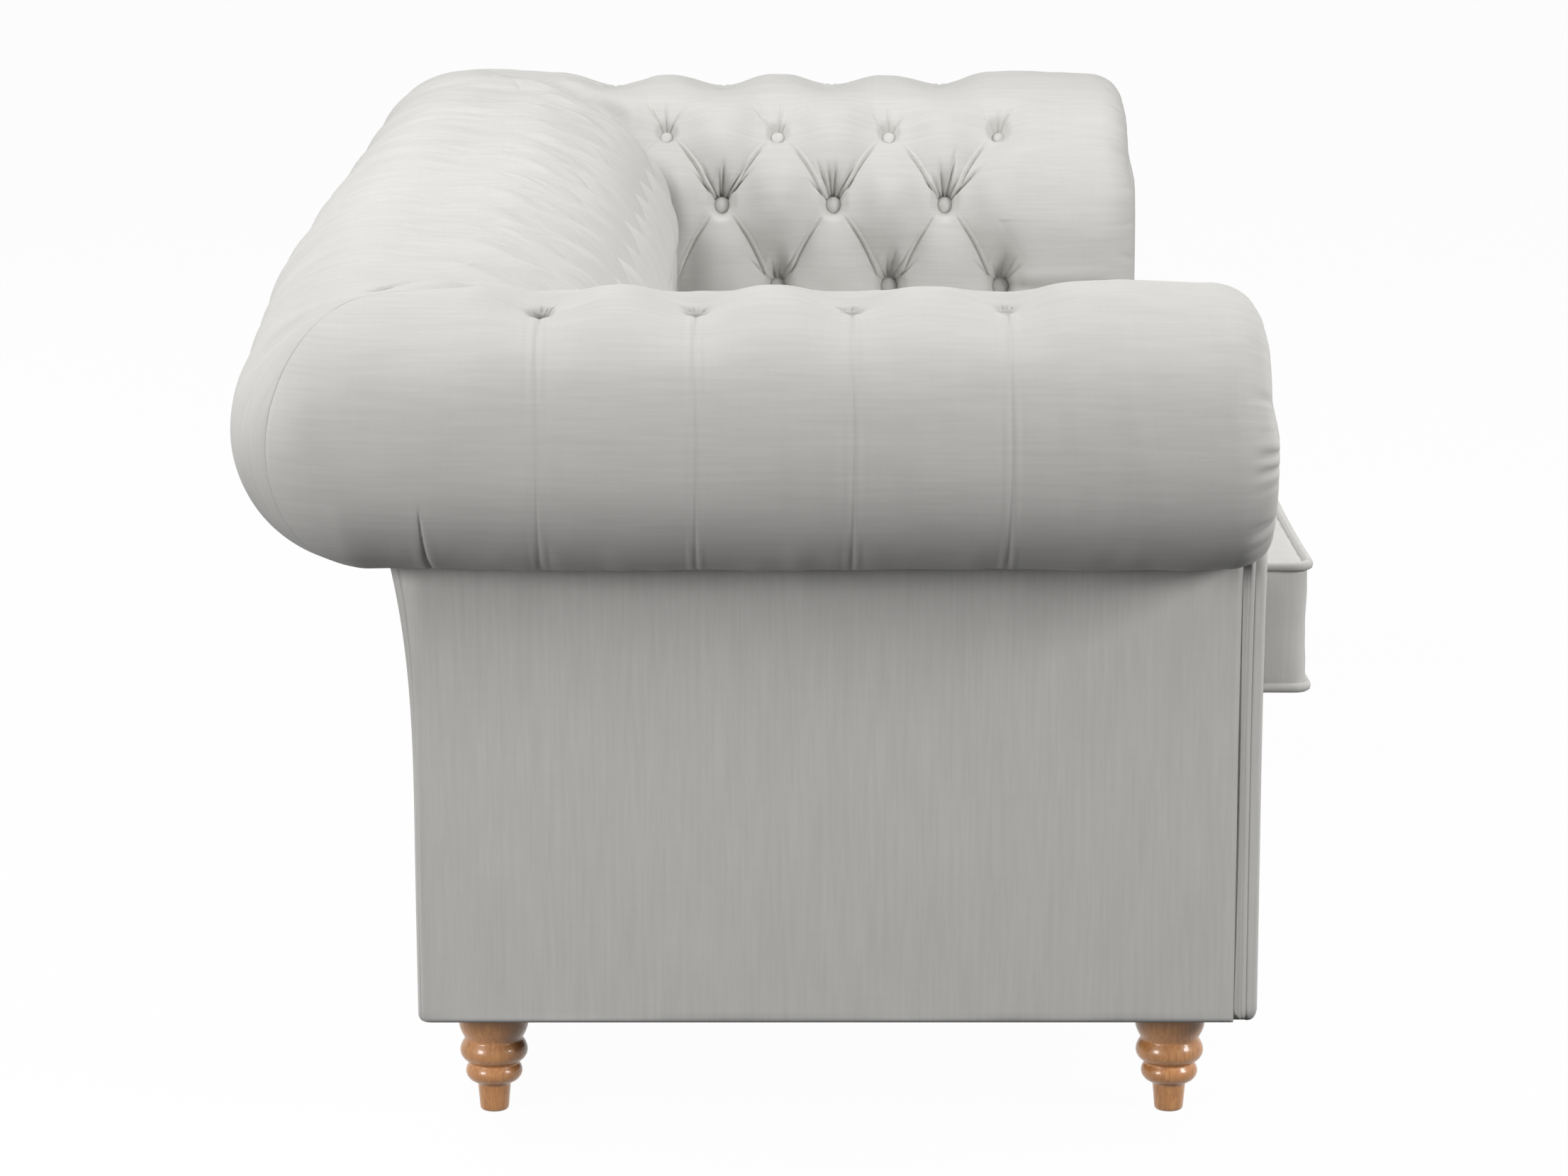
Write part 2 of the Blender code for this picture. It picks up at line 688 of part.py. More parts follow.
front_reach = ARM_X - FRAME_INNER - FIT
box("front_rail", TIMBER, (-front_reach, BOARD_FRONT, BASE_Z), (front_reach, BOARD_REAR, FRONT_RAIL_TOP))

# Front border, seat deck and dust cover.
border_reach = ARM_X - INNER_RUN + COVER_DEPTH
border_rear = ARM_FRONT + FACING_THICK
box("front_border", LINEN, (-border_reach, border_rear - BORDER_THICK, LEG_HEIGHT),
    (border_reach, border_rear, SEAT_Z))
box("seat_deck", PLATFORM, (-front_reach, BOARD_FRONT, SEAT_Z - DECK_THICK),
    (front_reach, BACK_Y - FRAME_INNER - FIT, SEAT_Z))
LEG_SPOTS = [(side * LEG_X, y, name + hand) for side, hand in ((1.0, "right"), (-1.0, "left"))
             for y, name in ((LEG_FRONT_Y, "front_"), (LEG_REAR_Y, "rear_"))]
dust_cover = box("dust_cover", CAMBRIC, (-(ARM_X - FRAME_RUN), BOARD_FRONT, LEG_HEIGHT),
                 (ARM_X - FRAME_RUN, BACK_Y - FRAME_RUN, LEG_HEIGHT + DUST_THICK))
cut(dust_cover, *[pin((x, y), BOLT_RADIUS + 5 * FIT, LEG_HEIGHT - 0.01, LEG_HEIGHT + 0.01)
                  for x, y, name in LEG_SPOTS])

# Turned legs, each held by a bolt through its corner block.
LEG_TURNING = ((1.0, 1.0), (0.80, 1.0), (0.77, 0.96), (0.68, 0.825), (0.62, 0.93), (0.57, 0.97), (0.51, 0.93),
               (0.45, 0.70), (0.40, 0.79), (0.37, 0.806), (0.325, 0.77), (0.25, 0.47))
leg_top = LEG_HEIGHT - FIT
for x, y, name in LEG_SPOTS:
    bore = BOLT_RADIUS + FIT
    profile = [(0.0, leg_top - BOLT_IN_LEG - FIT), (bore, leg_top - BOLT_IN_LEG - FIT), (bore, leg_top)]
    profile += [(share * LEG_TOP_RADIUS, height * leg_top) for height, share in LEG_TURNING]
    profile += [(LEG_FOOT_RADIUS, 0.0), (0.0, 0.0)]
    lathe("leg_" + name, BEECH, profile, (x, y), 14)
    inner_x = ARM_X - FRAME_RUN - RAIL_THICK - FIT
    block_y = (BOARD_REAR + FIT) if y < 0 else (BACK_Y - FRAME_RUN - RAIL_THICK - FIT - BLOCK_LENGTH)
    block = sided_box("corner_block_" + name, TIMBER, (inner_x - BLOCK_LENGTH, block_y, BASE_Z),
                      (inner_x, block_y + BLOCK_LENGTH, BASE_Z + BLOCK_HEIGHT), math.copysign(1.0, x))
    cut(block, pin((x, y), bore, BASE_Z - 0.01, BASE_Z + BLOCK_HEIGHT + 0.01))
    seat_z = BASE_Z + BLOCK_HEIGHT + FIT
    bolt = [(0.0, seat_z + NUT_HEIGHT), (NUT_RADIUS, seat_z + NUT_HEIGHT), (NUT_RADIUS, seat_z),
            (BOLT_RADIUS, seat_z), (BOLT_RADIUS, leg_top - BOLT_IN_LEG), (0.0, leg_top - BOLT_IN_LEG)]
    lathe("leg_bolt_" + name, STEEL, bolt, (x, y), 12)

# Serpentine seat springs, arched from the front rail to the seat back rail.
spring_front = BOARD_FRONT + RAIL_THICK / 2
spring_rear = BACK_Y - FRAME_INNER + TUCK_RAIL_THICK / 2
spring_z = FRONT_RAIL_TOP + FIT + SPRING_WIRE
spring_pitch = 2 * (ARM_X - INNER_RUN) / SPRING_COUNT
for number in range(SPRING_COUNT):
    x = (number - (SPRING_COUNT - 1) / 2) * spring_pitch
    path = []
    count = 4 * SPRING_WAVES
    for n in range(count + 1):
        share = n / count
        swing = SPRING_SWING * (1.0 if (n + 1) % 4 < 2 else -1.0)
        if n in (0, count):
            swing = SPRING_SWING
        rise = SPRING_RISE * (1 - (2 * share - 1) ** 2)
        skew = (0.30 if n % 2 else -0.30) if 0 < n < count else 0.0
        path.append((x + swing, spring_front + (spring_rear - spring_front) * (n + skew) / count,
                     spring_z + rise))
    wire = Skin()
    rings = []
    for n, point in enumerate(path):
        before = path[max(n - 1, 0)]
        after = path[min(n + 1, count)]
        dx, dy = after[0] - before[0], after[1] - before[1]
        length = math.hypot(dx, dy)
        across = (-dy / length * SPRING_WIRE, dx / length * SPRING_WIRE)
        rings.append([(point[0] + across[0] * s, point[1] + across[1] * s, point[2] + SPRING_WIRE * t)
                      for s, t in ((1, -1), (1, 1), (-1, 1), (-1, -1))])
    wire.grid([ring + ring[:1] for ring in rings])
    wire.face(*rings[0])
    wire.face(*rings[-1])
    wire.build("seat_spring_%d" % (number + 1), SPRING)

# Loose seat cushions: a boxed, piped cover with a zip opening at the rear, around a foam core.
cushion_width = (2 * (ARM_X - INNER_RUN) - (CUSHION_COUNT + 1) * CUSHION_SIDE_GAP) / CUSHION_COUNT
cushion_rear = BACK_Y - INNER_RUN - CUSHION_SIDE_GAP
cushion_low = SEAT_Z + FIT
bead = PIPING_RADIUS
CUSHION_LOOPS = ((0.0, 0.022), (0.003, 0.002), (bead, 0.0), (2 * bead, 0.0045), (CUSHION_BOXING / 2, 0.003),
                 (CUSHION_BOXING - 2 * bead, 0.0045), (CUSHION_BOXING - bead, 0.0),
                 (CUSHION_BOXING, 0.004), (CUSHION_BOXING + 0.45 * CUSHION_CROWN, 0.045),
                 (CUSHION_BOXING + 0.82 * CUSHION_CROWN, 0.100), (CUSHION_BOXING + CUSHION_CROWN, 0.170))


def rounded_loop(low_x, high_x, low_y, high_y, z, drop, corner):
    """A rounded rectangle, anticlockwise, with points along its sides as well."""
    radius = max(corner - drop * 0.3, 0.012)
    low_x, high_x, low_y, high_y = low_x + drop, high_x - drop, low_y + drop, high_y - drop
    loop = []
    centers = ((high_x - radius, low_y + radius, -90), (high_x - radius, high_y - radius, 0),
               (low_x + radius, high_y - radius, 90), (low_x + radius, low_y + radius, 180))
    for number, (cx, cy, start) in enumerate(centers):
        for n in range(4):
            angle = math.radians(start + 30 * n)
            loop.append((cx + radius * math.cos(angle), cy + radius * math.sin(angle), z))
        nx, ny, turn = centers[(number + 1) % 4]
        after = (nx + radius * math.cos(math.radians(turn)), ny + radius * math.sin(math.radians(turn)), z)
        here = loop[-1]
        loop.append(tuple((h + a) / 2 for h, a in zip(here, after)))
    return loop


for number in range(CUSHION_COUNT):
    name = ("left", "middle", "right")[number] if CUSHION_COUNT == 3 else str(number + 1)
    left = -(ARM_X - INNER_RUN) + CUSHION_SIDE_GAP + number * (cushion_width + CUSHION_SIDE_GAP)
    skin = Skin()
    loops = [rounded_loop(left, left + cushion_width, NOSE_Y, cushion_rear, cushion_low + z, drop, CUSHION_CORNER)
             for z, drop in CUSHION_LOOPS]
    skin.grid([loop + loop[:1] for loop in loops])
    skin.face(*loops[0])
    skin.face(*loops[-1])
    cover = skin.build("seat_cushion_" + name, LINEN)
    low = (left + CUSHION_WALL, NOSE_Y + CUSHION_WALL, cushion_low + CUSHION_WALL)
    high = (left + cushion_width - CUSHION_WALL, cushion_rear - CUSHION_WALL,
            cushion_low + CUSHION_BOXING - 0.003)
    hollow = box("hollow", FOAM, low, high)
    zip_half = cushion_width * ZIP_LENGTH_SHARE / 2
    middle = left + cushion_width / 2
    zip_z = cushion_low + CUSHION_BOXING / 2
    slot = box("slot", FOAM, (middle - zip_half, high[1] - 0.02, zip_z - ZIP_OPENING / 2),
               (middle + zip_half, cushion_rear + 0.02, zip_z + ZIP_OPENING / 2))
    cut(cover, hollow, slot)
    box("cushion_core_" + name, FOAM, tuple(c + FIT for c in low), tuple(c - FIT for c in high))
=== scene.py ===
import math

import bmesh
import bpy
import numpy as np
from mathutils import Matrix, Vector
from mathutils.geometry import delaunay_2d_cdt


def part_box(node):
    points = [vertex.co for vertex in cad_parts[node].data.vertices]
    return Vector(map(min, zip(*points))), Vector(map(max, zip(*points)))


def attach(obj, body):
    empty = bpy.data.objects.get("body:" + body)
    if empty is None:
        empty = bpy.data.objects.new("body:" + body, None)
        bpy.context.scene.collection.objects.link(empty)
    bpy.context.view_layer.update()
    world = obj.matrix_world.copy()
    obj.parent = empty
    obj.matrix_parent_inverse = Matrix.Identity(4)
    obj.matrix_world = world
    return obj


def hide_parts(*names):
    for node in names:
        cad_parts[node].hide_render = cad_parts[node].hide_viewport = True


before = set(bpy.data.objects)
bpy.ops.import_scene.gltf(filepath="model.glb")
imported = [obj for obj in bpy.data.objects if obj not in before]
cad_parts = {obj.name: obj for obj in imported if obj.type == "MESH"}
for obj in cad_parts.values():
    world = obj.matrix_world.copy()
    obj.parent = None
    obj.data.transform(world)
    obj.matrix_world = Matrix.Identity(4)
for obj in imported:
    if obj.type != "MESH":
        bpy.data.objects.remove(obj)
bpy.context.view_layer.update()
print("frame loaded:", len(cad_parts), "solids")


# Colour and node helpers

def toLinear(hexColour):
    channels = [int(hexColour[n:n + 2], 16) / 255 for n in (1, 3, 5)]
    return [c / 12.92 if c <= 0.04045 else ((c + 0.055) / 1.055) ** 2.4 for c in channels] + [1.0]


def addNode(tree, kind, settings=None, links=None):  # a link is a node, or a node and one of its outputs
    node = tree.nodes.new("ShaderNode" + kind)
    for key, value in (settings or {}).items():
        if isinstance(key, int) or key in node.inputs:
            node.inputs[key].default_value = value
        else:
            setattr(node, key, value)
    for key, source in (links or {}).items():
        source, output = source if isinstance(source, tuple) else (source, 0)
        tree.links.new(source.outputs[output], node.inputs[key])
    return node


def emptyTree(owner):
    owner.use_nodes = True
    owner.node_tree.nodes.clear()
    return owner.node_tree


def finishSurface(tree, settings, colour, height):
    relief = {"Strength": settings["bumpStrength"], "Distance": settings["bumpMm"] / 1000}
    bump = addNode(tree, "Bump", relief, {"Height": height})
    shader = addNode(tree, "BsdfPrincipled", settings["surface"], {"Base Color": colour, "Normal": bump})
    addNode(tree, "OutputMaterial", links={"Surface": shader})


def setRamp(ramp, stops):  # colour stops as (place, hex)
    elements = ramp.color_ramp.elements
    elements[0].position, elements[1].position = stops[0][0], stops[-1][0]
    elements[0].color, elements[1].color = toLinear(stops[0][1]), toLinear(stops[-1][1])
    for place, colour in stops[1:-1]:
        elements.new(place).color = toLinear(colour)


# Slubbed linen-look weave, pale warm grey, brushed soft: matt, with faint uneven threads both ways
linen = {
    "colour": "#c9c8c5",
    "darkThread": "#c4c3c0",
    "paleThread": "#cecdca",
    "slubLengthMm": 80,     # one thick stretch of yarn
    "slubWidthMm": 4.5,     # drawn about five threads wide so that it shows in the render
    "threadMm": 1.3,        # drawn coarser than the real 0.5 mm for the same reason
    "mottleMm": 28,         # brushed streaks, four times as long
    "weftShare": 0.2,       # strength of the weft slubs beside the warp
    "mottleShare": 0.45,
    "toneRange": (0.45, 1.20),
    "weaveShare": 0.14,     # the slubs stand a little proud of the weave
    "bumpMm": 0.10,
    "bumpStrength": 0.12,
    "surface": {"Roughness": 0.92, "Specular IOR Level": 0.12, "Sheen Weight": 0.12, "Sheen Roughness": 0.5},
}


def makeLinen(name, settings):
    material = bpy.data.materials.new(name)
    tree = emptyTree(material)
    place = addNode(tree, "UVMap", {"uv_map": "cloth"})  # cloth is laid out in metres
    long, wide, streak = [1000 / settings[size] for size in ("slubLengthMm", "slubWidthMm", "mottleMm")]
    patterns = (((long, wide, 1), (0, 0, 0), 0.6), ((wide, long, 1), (7.3, 3.1, 0), 0.6),
                ((streak, streak / 4, 1), (0, 0, 0), 0.5))
    tones = []
    for scale, offset, roughness in patterns:
        laid = addNode(tree, "Mapping", {"Scale": scale, "Location": offset}, {"Vector": place})
        tones.append(addNode(tree, "TexNoise", {"noise_dimensions": "2D", "Scale": 1.0, "Detail": 3.0,
                                                "Roughness": roughness}, {"Vector": laid}))
    weft, warp, mottle = tones
    blend = {"operation": "MULTIPLY_ADD"}
    slub = addNode(tree, "Math", {**blend, 1: settings["weftShare"]}, {0: weft, 2: warp})
    both = addNode(tree, "Math", {**blend, 1: settings["mottleShare"]}, {0: mottle, 2: slub})
    low, high = settings["toneRange"]
    spread = addNode(tree, "MapRange", {"From Min": low, "From Max": high}, {"Value": both})
    ramp = addNode(tree, "ValToRGB", links={"Fac": spread})
    setRamp(ramp, ((0.0, settings["darkThread"]), (0.5, settings["colour"]), (1.0, settings["paleThread"])))
    # plain weave of crossing threads
    threads = []
    for direction in ("X", "Y"):
        wave = {"wave_type": "BANDS", "bands_direction": direction, "Scale": 1000 / settings["threadMm"] / 20,
                "Distortion": 1.2, "Detail": 2.0, "Detail Scale": 0.6}
        threads.append((addNode(tree, "TexWave", wave, {"Vector": place}), "Fac"))
    weave = addNode(tree, "Math", {"operation": "MAXIMUM"}, {0: threads[0], 1: threads[1]})
    relief = addNode(tree, "Math", {**blend, 1: settings["weaveShare"]}, {0: weave, 2: slub})
    finishSurface(tree, settings, ramp, relief)
    return material


clothMaterial = makeLinen("slubbedLinenWeave", linen)
print("cloth material made")


# Section of the rolled arms and back, in metres. A run is measured from the roll axis to the seat.
sofa = {
    "rollRadius": 0.120,
    "crownRun": 0.055,
    "shoulderRadius": 0.178,
    "panelRun": 0.033,
    "panelFlare": 0.021,
    "panelBendZ": 0.260,
    "height": 0.765,
    "legHeight": 0.100,
    "seatZ": 0.357,
    "seam": 0.0003,
}
rollZ = sofa["height"] - sofa["rollRadius"]
shoulderZ = sofa["height"] - sofa["shoulderRadius"]
innerRun = sofa["crownRun"] + sofa["shoulderRadius"]
flaredRun = sofa["panelRun"] - sofa["panelFlare"]
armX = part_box("outside_arm_panel_right")[1].x + flaredRun      # roll axis of an arm
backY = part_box("outside_back_panel")[1].y + flaredRun          # roll axis of the back
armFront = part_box("arm_facing_right")[0].y
underTurn = math.pi + math.asin(flaredRun / sofa["rollRadius"])
vUnder = -(sofa["crownRun"] + sofa["rollRadius"] * underTurn)
vSeat = sofa["shoulderRadius"] * math.pi / 2 + shoulderZ - sofa["seatZ"] - sofa["seam"]


def scrollAt(v):  # run, z and outward normal for distances v from the crown line, positive to the seat
    v = np.asarray(v, float)
    outer = np.clip((-v - sofa["crownRun"]) / sofa["rollRadius"], 0, None)
    inner = np.clip(v / sofa["shoulderRadius"], 0, math.pi / 2)
    drop = np.clip(v - sofa["shoulderRadius"] * math.pi / 2, 0, None)
    flat = np.clip(v, -sofa["crownRun"], 0) + sofa["crownRun"]
    normalRun = np.where(v > 0, np.sin(inner), -np.sin(outer))
    normalZ = np.where(v > 0, np.cos(inner), np.cos(outer))
    run = np.where(v > 0, sofa["crownRun"] + sofa["shoulderRadius"] * np.sin(inner),
                   np.where(outer > 0, -sofa["rollRadius"] * np.sin(outer), flat))
    z = np.where(v > 0, shoulderZ + sofa["shoulderRadius"] * np.cos(inner) - drop,
                 np.where(outer > 0, rollZ + sofa["rollRadius"] * np.cos(outer), sofa["height"]))
    return run, z, normalRun, normalZ


def ease(low, high, value):
    share = np.clip((value - low) / (high - low), 0, 1)
    return share * share * (3 - 2 * share)


def crease(distance, width):
    return np.exp(-(distance / width) ** 2)


def folds(distance, layers):  # each layer a depth, a place and a width
    return sum(deep * crease(distance - spot, width) for deep, spot, width in layers)


noiseTables = {}


def softNoise(x, y, seed):  # smooth value noise in -1..1, the same on every run
    if seed not in noiseTables:
        noiseTables[seed] = np.random.default_rng(seed).random((128, 128)) * 2 - 1
    table = noiseTables[seed]
    xi, yi = np.floor(x).astype(int), np.floor(y).astype(int)
    fx, fy = x - xi, y - yi
    fx, fy = fx * fx * (3 - 2 * fx), fy * fy * (3 - 2 * fy)
    low = table[xi % 128, yi % 128] * (1 - fx) + table[(xi + 1) % 128, yi % 128] * fx
    high = table[xi % 128, (yi + 1) % 128] * (1 - fx) + table[(xi + 1) % 128, (yi + 1) % 128] * fx
    return low * (1 - fy) + high * fy


def uneven(w, v, layers):  # each layer a depth, a width along the roll, a length across it and a seed
    return sum(deep * softNoise(w / wide, v / long, seed) for deep, wide, long, seed in layers)


def makeMesh(name, points, quads, material, uv=None, caps=()):
    points = np.asarray(points, float).reshape(-1, 3)
    quads = np.asarray(quads, int).reshape(-1, 4)
    corners = np.concatenate([quads.ravel()] + [np.asarray(cap, int) for cap in caps])
    sizes = np.array([4] * len(quads) + [len(cap) for cap in caps])
    mesh = bpy.data.meshes.new(name)
    mesh.vertices.add(len(points))
    mesh.vertices.foreach_set("co", points.ravel())
    mesh.loops.add(len(corners))
    mesh.loops.foreach_set("vertex_index", corners)
    mesh.polygons.add(len(sizes))
    mesh.polygons.foreach_set("loop_start", np.concatenate([[0], np.cumsum(sizes)[:-1]]))
    mesh.update(calc_edges=True)
    if uv is not None:
        layer = mesh.uv_layers.new(name="cloth")
        layer.data.foreach_set("uv", np.asarray(uv, float).reshape(-1, 2)[corners].ravel())
    mesh.shade_smooth()
    mesh.materials.append(material)
    piece = bpy.data.objects.new(name, mesh)
    bpy.context.scene.collection.objects.link(piece)
    return piece


def gridFaces(rows, columns, start=0, closed=False):
    j, i = np.meshgrid(np.arange(rows - 1), np.arange(columns if closed else columns - 1), indexing="ij")
    k = (i + 1) % columns
    faces = [j * columns + i, j * columns + k, (j + 1) * columns + k, (j + 1) * columns + i]
    return np.stack(faces, axis=-1).reshape(-1, 4) + start


def endCaps(rows, columns, start=0):  # closes the first and last row of a grid that is closed round
    last = start + rows * columns - 1
    return [list(range(start, start + columns)), list(range(last, last - columns, -1))]


def rimIndex(rows, columns):  # vertex numbers once round the edge of a grid
    top = list(range(columns))
    right = [j * columns + columns - 1 for j in range(1, rows)]
    bottom = [(rows - 1) * columns + i for i in range(columns - 2, -1, -1)]
    left = [j * columns for j in range(rows - 2, 0, -1)]
    return np.array(top + right + bottom + left)


def rimOf(grid):
    return grid.reshape(-1, 3)[rimIndex(grid.shape[0], grid.shape[1])]


def rimFaces(rows, columns):  # joins the edge of a grid to a copy of that edge listed after the grid
    rim = rimIndex(rows, columns)
    copy = rows * columns + np.arange(len(rim))
    return np.stack([np.roll(rim, -1), rim, copy, np.roll(copy, -1)], axis=1)


def faceOut(piece):  # all faces look outwards
    work = bmesh.new()
    work.from_mesh(piece.data)
    bmesh.ops.recalc_face_normals(work, faces=work.faces)
    work.to_mesh(piece.data)
    work.free()


# A cloth piece: what it moves with, and the parts it stands for, which are hidden
def upholster(piece, body, fill, *nodes):
    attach(piece, body)
    if nodes:
        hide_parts(*nodes)


# Deep buttoning: where the buttons sit, and the pleats between them, in (along, v)
buttoning = {
    "pitch": 0.135,
    "rowPlaces": (-0.045, 0.126, 0.231, 0.339),   # rows from the crown line down to the seat
    "cornerButton": 0.151,      # corner axis to the first tuft of the top row
    "frontClear": 0.130,        # arms are plain near the front
    "pleatReach": 0.060,        # half the width of a diamond between its pleats
    "pleatBow": 0.10,           # pleats bow out on their way down to the next button
    "pleatAside": 0.009,        # and come down beside it
    "pleatFold": ((0.0036, 0.0004, 0.0014), (-0.0012, -0.0023, 0.0016), (0.0007, -0.0054, 0.0014)),
    "gatherDepth": 0.0045,
    "gatherAngles": (-42, -25, -8, 8, 25, 42),
    "firstRowAngles": (-34, 6, 30),
    "scallop": 0.015,           # dip of the top edge at each tuft of the top row
    "mitreDepth": 0.014,
    "buttonRadius": 0.0105,
}
rowPlaces = buttoning["rowPlaces"]
armLength = backY - armFront
backGaps = round(2 * (armX - buttoning["cornerButton"]) / buttoning["pitch"])
backPitch = 2 * (armX - buttoning["cornerButton"]) / backGaps


def armColumns(row):  # every button place along an arm, also those of the lower rows that the corner swallows
    places = [buttoning["cornerButton"] + (n + 0.5 * (row % 2)) * buttoning["pitch"] for n in range(-3, 8)]
    return [w for w in places if (0.1 if row == 0 else -1) < w < armLength - buttoning["frontClear"]]


def backColumns(row):
    half = 0.5 * ((row + backGaps) % 2)
    return [(n + half) * backPitch for n in range(-backGaps, backGaps + 1)
            if abs(n + half) * backPitch < armX + (-0.1 if row == 0 else 0.1)]


def pleatLines(columns, pitch, places):  # diagonal pleats from each button to its two neighbours a row below
    lines = []
    for row in range(len(places) - 1):
        below = columns(row + 1)
        for w in columns(row):
            for side in (-0.5, 0.5):
                near = [x for x in below if abs(x - w - side * pitch) < 0.01]
                if near:
                    foot = near[0] - 2 * side * buttoning["pleatAside"]
                    lines.append((w, places[row], foot, places[row + 1]))
    return lines


def lineDistance(w, v, line):
    w1, v1, w2, v2 = line
    dw, dv = w2 - w1, v2 - v1
    share = np.clip(((w - w1) * dw + (v - v1) * dv) / (dw * dw + dv * dv), 0, 1)
    return np.hypot(w - w1 - share * dw, v - v1 - share * dv), share


def puffedDepth(w, v, tufting, places):  # puffs between the pleats, each lapping a fold over its lower edge
    fullness = np.ones_like(w)
    fold = np.zeros_like(w)
    for line in pleatLines(tufting["columns"], tufting["pitch"], places):
        near = (np.abs(w - (line[0] + line[2]) / 2) < 0.14) & (np.abs(v - (line[1] + line[3]) / 2) < 0.16)
        if not near.any():
            continue
        distance, share = lineDistance(w[near], v[near], line)
        bowed = w[near] - buttoning["pleatBow"] * (line[2] - line[0]) * np.sin(math.pi * share)
        distance, share = lineDistance(bowed, v[near], line)
        below = np.where(v[near] < line[1] + (line[3] - line[1]) * share, -distance, distance)
        rise = np.clip(distance / buttoning["pleatReach"], 0, 1)
        puff = (1 - (1 - rise) ** 2) ** 1.15
        atTop, more = tufting["topBand"]
        strength = atTop + more * share ** 3 if line[1] == places[0] else 1.0   # the top band is tied loosely
        fullness[near] *= 1 - strength * (1 - puff)
        window = ease(0.08, 0.45, share) * (1 - 0.5 * ease(0.94, 1.0, share))
        fold[near] += folds(below, buttoning["pleatFold"]) * strength ** 2 * window
    inRows = 1 - ease(0.0, 0.05, v - places[-1])
    depth = tufting["pleatDepth"] * (1 - fullness) * inRows + tufting["lap"] * np.clip(fold, -0.002, 0.005)
    return depth - tufting["loft"] * fullness * ease(0.04, 0.18, v) * (1 - ease(0.26, 0.335, v))


def buttonedDepth(w, v, tufting):
    columns, pitch = tufting["columns"], tufting["pitch"]
    places = (tufting["topRow"],) + rowPlaces[1:]
    top, last = places[0], places[-1]
    depth = puffedDepth(w, v, tufting, places)
    # the top edge dips at each top tuft; from there a thin pleat runs over the roll and under it
    scallop = buttoning["scallop"]
    for x in columns(0):
        distance = np.abs(w - x)
        dip = (0.5 + 0.5 * np.cos(math.pi * np.clip(distance / (pitch * 0.5), 0, 1))) ** 1.25
        over = ease(0.0, 0.13, top - v)
        onRoll = scallop * (1 - over) + tufting["wave"] * over * (1 - 0.4 * ease(0.15, 0.4, top - v))
        inner = 1 - tufting["crownFade"] * ease(0.0, 0.04, v - top)
        onCrown = scallop * inner * (1 - ease(0.04, 0.13, v - top))
        depth += dip * np.where(v < top, onRoll, onCrown)
        pleat = folds(distance, tufting["rollPleat"]) * (1 - 0.6 * ease(0.18, 0.34, top - v))
        depth += np.where(v < top, pleat * ease(0.0, 0.03, top - v), 0)
    for x in columns(len(rowPlaces) - 1):   # pleats from the last row down behind the cushions
        distance, share = lineDistance(w, v, (x, last, x, vSeat))
        spread = 1 - np.clip(distance / (pitch * 0.5), 0, 1)
        pull = tufting["pleatDepth"] * (1 - 0.45 * share) * (1 - np.sqrt(1 - spread ** 2)) ** 1.1
        depth = np.maximum(depth, np.where(v > last, pull, -1))
    pressHollows(depth, w, v, tufting, places)
    return depth


def pressHollows(depth, w, v, tufting, places):  # with gathers that fan out upwards, at the top row down
    shuffle = np.random.default_rng(tufting["seed"])
    for row, spot in enumerate(places):
        full, wide, up, down = tufting["hollows"][row]
        length, size = tufting["gathers"][row]
        fan = buttoning["firstRowAngles" if row == 1 else "gatherAngles"]
        for number, x in enumerate(tufting["columns"](row)):
            lean = shuffle.normal(0, 4, 6)
            tall = shuffle.uniform(0.65, 1.15, 6)
            deep = full * (tufting["topPull"][number % 4] if row == 0 else 1)
            near = (np.abs(w - x) < 0.085) & (np.abs(v - spot) < 0.085)
            if not near.any():
                continue
            dw, dv = w[near] - x, v[near] - spot
            reach = np.hypot(dw, dv)
            stretch = np.hypot(dw / wide, dv / np.where(dv < 0, up, down))
            hollow = deep * np.exp(-(2 * np.clip(stretch - 0.3, 0, None)) ** 1.5)
            depth[near] = (np.clip(depth[near], 0, None) ** 4 + hollow ** 4) ** 0.25 \
                + np.minimum(depth[near], 0) * (1 - hollow / deep)
            angle = np.degrees(np.arctan2(dw, dv if row == 0 else -dv))
            for n, place in enumerate(fan):
                across = np.radians(angle - place - lean[n]) * reach
                far = length * tall[n]
                window = ease(0.006, 0.014, reach) * (1 - ease(far * 0.4, far, reach)) * (np.abs(angle) < 75)
                gather = size * buttoning["gatherDepth"] * crease(across, 0.0010 + 0.020 * reach)
                depth[near] += gather * window


print("buttoning laid out:", backGaps + 1, "places along the back")


